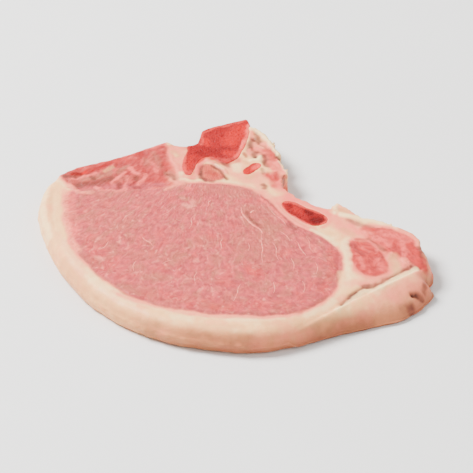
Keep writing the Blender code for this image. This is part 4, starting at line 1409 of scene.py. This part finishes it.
def build_fringe(material):
    """Small ragged lumps along the sawn edges."""
    lines = [
        [(x * MM, y * MM, FRINGE_HEIGHT * MM) for x, y in smooth_line(route, FRINGE_SPACING)]
        for route in FRINGE
    ]
    guide = guide_mesh("fringe_guide", lines)

    r = Recipe("fringe_recipe", Size=LUMP_SIZE * MM)
    spots = r.add("GeometryNodeMeshToPoints", None, {"Mesh": r.inputs["Geometry"]})
    jitter = r.vector(r.random(*LUMP_SHIFT, 1), r.random(*LUMP_SHIFT, 2), r.random(*LUMP_RISE, 3))
    moved = r.add("GeometryNodeSetPosition", None, {"Geometry": spots.outputs[0], "Offset": jitter})
    ball = r.add("GeometryNodeMeshIcoSphere", None, {"Radius": 1.0, "Subdivisions": 3})
    # The ball is a metre in radius until it is scaled, and so are its dents
    dents = r.vector(r.noise(0.7e3) - 0.5, r.noise(0.9e3) - 0.5, 0.0)
    dent = r.add("GeometryNodeSetPosition", None, {"Geometry": ball.outputs["Mesh"], "Offset": dents})
    size = r.size("Size")
    scale = r.vector(
        size * r.random(0.7, 1.3, 8), size * r.random(1.0, 3.0, 9), size * r.random(0.6, 1.2, 10)
    )
    lumps = r.add("GeometryNodeInstanceOnPoints", None, {
        "Points": moved.outputs[0], "Instance": dent.outputs[0], "Scale": scale,
        "Rotation": r.vector(r.random(-0.4, 0.4, 11), r.random(-0.4, 0.4, 12), r.random(-0.6, 0.9, 13)),
    })
    r.close(lumps.outputs[0], material)
    return r.run(guide, "ragged_fringe")


def finish_piece(piece, slot, *nodes):
    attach(piece, BODY)
    if nodes:
        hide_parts(*nodes)


# ---------------------------------------------------------------- stage

CAMERA_TARGET = (0.00065, -0.00164, 0.005)
CAMERA_DISTANCE = 1.719
CAMERA_ELEVATION = 35.3  # degrees above the floor
CAMERA_TURN = 1.856  # degrees towards +X from straight in front
CAMERA_ROLL = -1.073  # degrees round the line of sight
CAMERA_LENS = 365.6  # millimetres
CAMERA_SENSOR = 36.0  # millimetres
FLOOR_REACH = 1.5  # metres from the middle to each side
# Each area light's name, place in metres, width in metres and power in watts
LIGHTS = (
    ("key_light", (-0.78, 0.20, 1.0), 0.5, 56.0),
    ("fill_light", (0.8, -0.5, 0.8), 0.9, 8.0),
)
CHOP_MIDDLE = (0.0, 0.0, 0.005)
SKY_COLOUR = (1.0, 0.985, 0.97, 1.0)
SKY_STRENGTH = 0.77


def aim(thing, target):
    thing.rotation_euler = (Vector(target) - thing.location).to_track_quat("-Z", "Y").to_euler()


def build_floor(paint):
    mesh = bpy.data.meshes.new("floor")
    work = bmesh.new()
    bmesh.ops.create_grid(work, x_segments=8, y_segments=8, size=FLOOR_REACH)
    work.to_mesh(mesh)
    work.free()
    f = Finish("floor_finish")
    f.surface(f.shade(paint.floor[:], 0.98 + f.noise(60.0) * 0.04), 0.75, f.bump(f.noise(2.0), 0.01))
    mesh.materials.append(f.material)
    floor = new_object("floor", mesh)


def build_lights():
    for name, place, size, power in LIGHTS:
        light = bpy.data.lights.new(name, "AREA")
        light.size = size
        light.energy = power
        lamp = new_object(name, light)
        lamp.location = place
        aim(lamp, CHOP_MIDDLE)
    world = bpy.data.worlds.new("studio")
    world.use_nodes = True
    sky = world.node_tree.nodes["Background"]
    sky.inputs["Color"].default_value = SKY_COLOUR
    sky.inputs["Strength"].default_value = SKY_STRENGTH
    bpy.context.scene.world = world


def build_camera():
    camera = bpy.data.cameras.new("camera")
    camera.lens = CAMERA_LENS
    camera.sensor_width = CAMERA_SENSOR
    camera.clip_start = 0.05
    viewer = new_object("camera", camera)
    up, side = math.radians(CAMERA_ELEVATION), math.radians(CAMERA_TURN)
    away = Vector((math.sin(side) * math.cos(up), -math.cos(side) * math.cos(up), math.sin(up)))
    viewer.location = Vector(CAMERA_TARGET) + away * CAMERA_DISTANCE
    aim(viewer, CAMERA_TARGET)
    viewer.rotation_euler.rotate_axis("Z", math.radians(CAMERA_ROLL))
    bpy.context.scene.camera = viewer


# ---------------------------------------------------------------- operators

class CHOP_OT_stage(bpy.types.Operator):
    """Build the floor, the lights and the camera"""
    bl_idname = "chop.stage"
    bl_label = "Stage"

    def execute(self, context):
        build_floor(context.scene.chop_colours)
        build_lights()
        build_camera()
        return {"FINISHED"}


class CHOP_OT_flesh(bpy.types.Operator):
    """Build the skin of lean, fat and gristle"""
    bl_idname = "chop.flesh"
    bl_label = "Flesh"

    def execute(self, context):
        piece = build_flesh(context.scene.chop_sizes, context.scene.chop_colours)
        finish_piece(piece, "loin_lean", *FLESH_NODES)
        return {"FINISHED"}


class CHOP_OT_bones(bpy.types.Operator):
    """Build the sawn backbone, the rib end and the chip of bone"""
    bl_idname = "chop.bones"
    bl_label = "Bones"

    def execute(self, context):
        sizes, paint = context.scene.chop_sizes, context.scene.chop_colours
        material = bone_finish()
        for name, node, base, slot, seed in (
            ("backbone", "chine_bone", paint.bone, "red_bone", 105.0),
            ("bone_fragment", "bone_chip", paint.bone, "red_bone", 115.0),
            ("rib_end", "rib_bone", paint.marrow, "rib_marrow", 125.0),
        ):
            finish_piece(build_bone(name, node, base, material, sizes, paint, seed), slot, node)
        return {"FINISHED"}


class CHOP_OT_marbling(bpy.types.Operator):
    """Lay threads of fat in the loin eye"""
    bl_idname = "chop.marbling"
    bl_label = "Marbling"

    def execute(self, context):
        skin = bpy.data.objects["chop_flesh"]
        material = marbling_finish(context.scene.chop_colours)
        finish_piece(build_threads(skin, material), "fat")
        return {"FINISHED"}


class CHOP_OT_fringe(bpy.types.Operator):
    """Set ragged bits of fat along the sawn edges"""
    bl_idname = "chop.fringe"
    bl_label = "Ragged fringe"

    def execute(self, context):
        finish_piece(build_fringe(fringe_finish(context.scene.chop_colours)), "fat")
        return {"FINISHED"}


OPERATORS = (CHOP_OT_stage, CHOP_OT_flesh, CHOP_OT_bones, CHOP_OT_marbling, CHOP_OT_fringe)


class CHOP_PT_panel(bpy.types.Panel):
    """Sizes, colours and the steps that build the chop"""
    bl_idname = "CHOP_PT_panel"
    bl_label = "Raw Pork Chop"
    bl_space_type = "VIEW_3D"
    bl_region_type = "UI"
    bl_category = "Chop"

    def draw(self, context):
        for group in (context.scene.chop_sizes, context.scene.chop_colours):
            box = self.layout.box()
            for name in group.__annotations__:
                box.prop(group, name)
        for operator in OPERATORS:
            self.layout.operator(operator.bl_idname)


CLASSES = (ChopSizes, ChopColours, *OPERATORS, CHOP_PT_panel)


def register():
    for item in CLASSES:
        bpy.utils.register_class(item)
    bpy.types.Scene.chop_sizes = bpy.props.PointerProperty(type=ChopSizes)
    bpy.types.Scene.chop_colours = bpy.props.PointerProperty(type=ChopColours)


def unregister():
    del bpy.types.Scene.chop_sizes
    del bpy.types.Scene.chop_colours
    for item in reversed(CLASSES):
        bpy.utils.unregister_class(item)


def main():
    register()
    bpy.ops.chop.stage()
    bpy.ops.chop.flesh()
    bpy.ops.chop.bones()
    bpy.ops.chop.marbling()
    bpy.ops.chop.fringe()


if __name__ == "__main__":
    main()
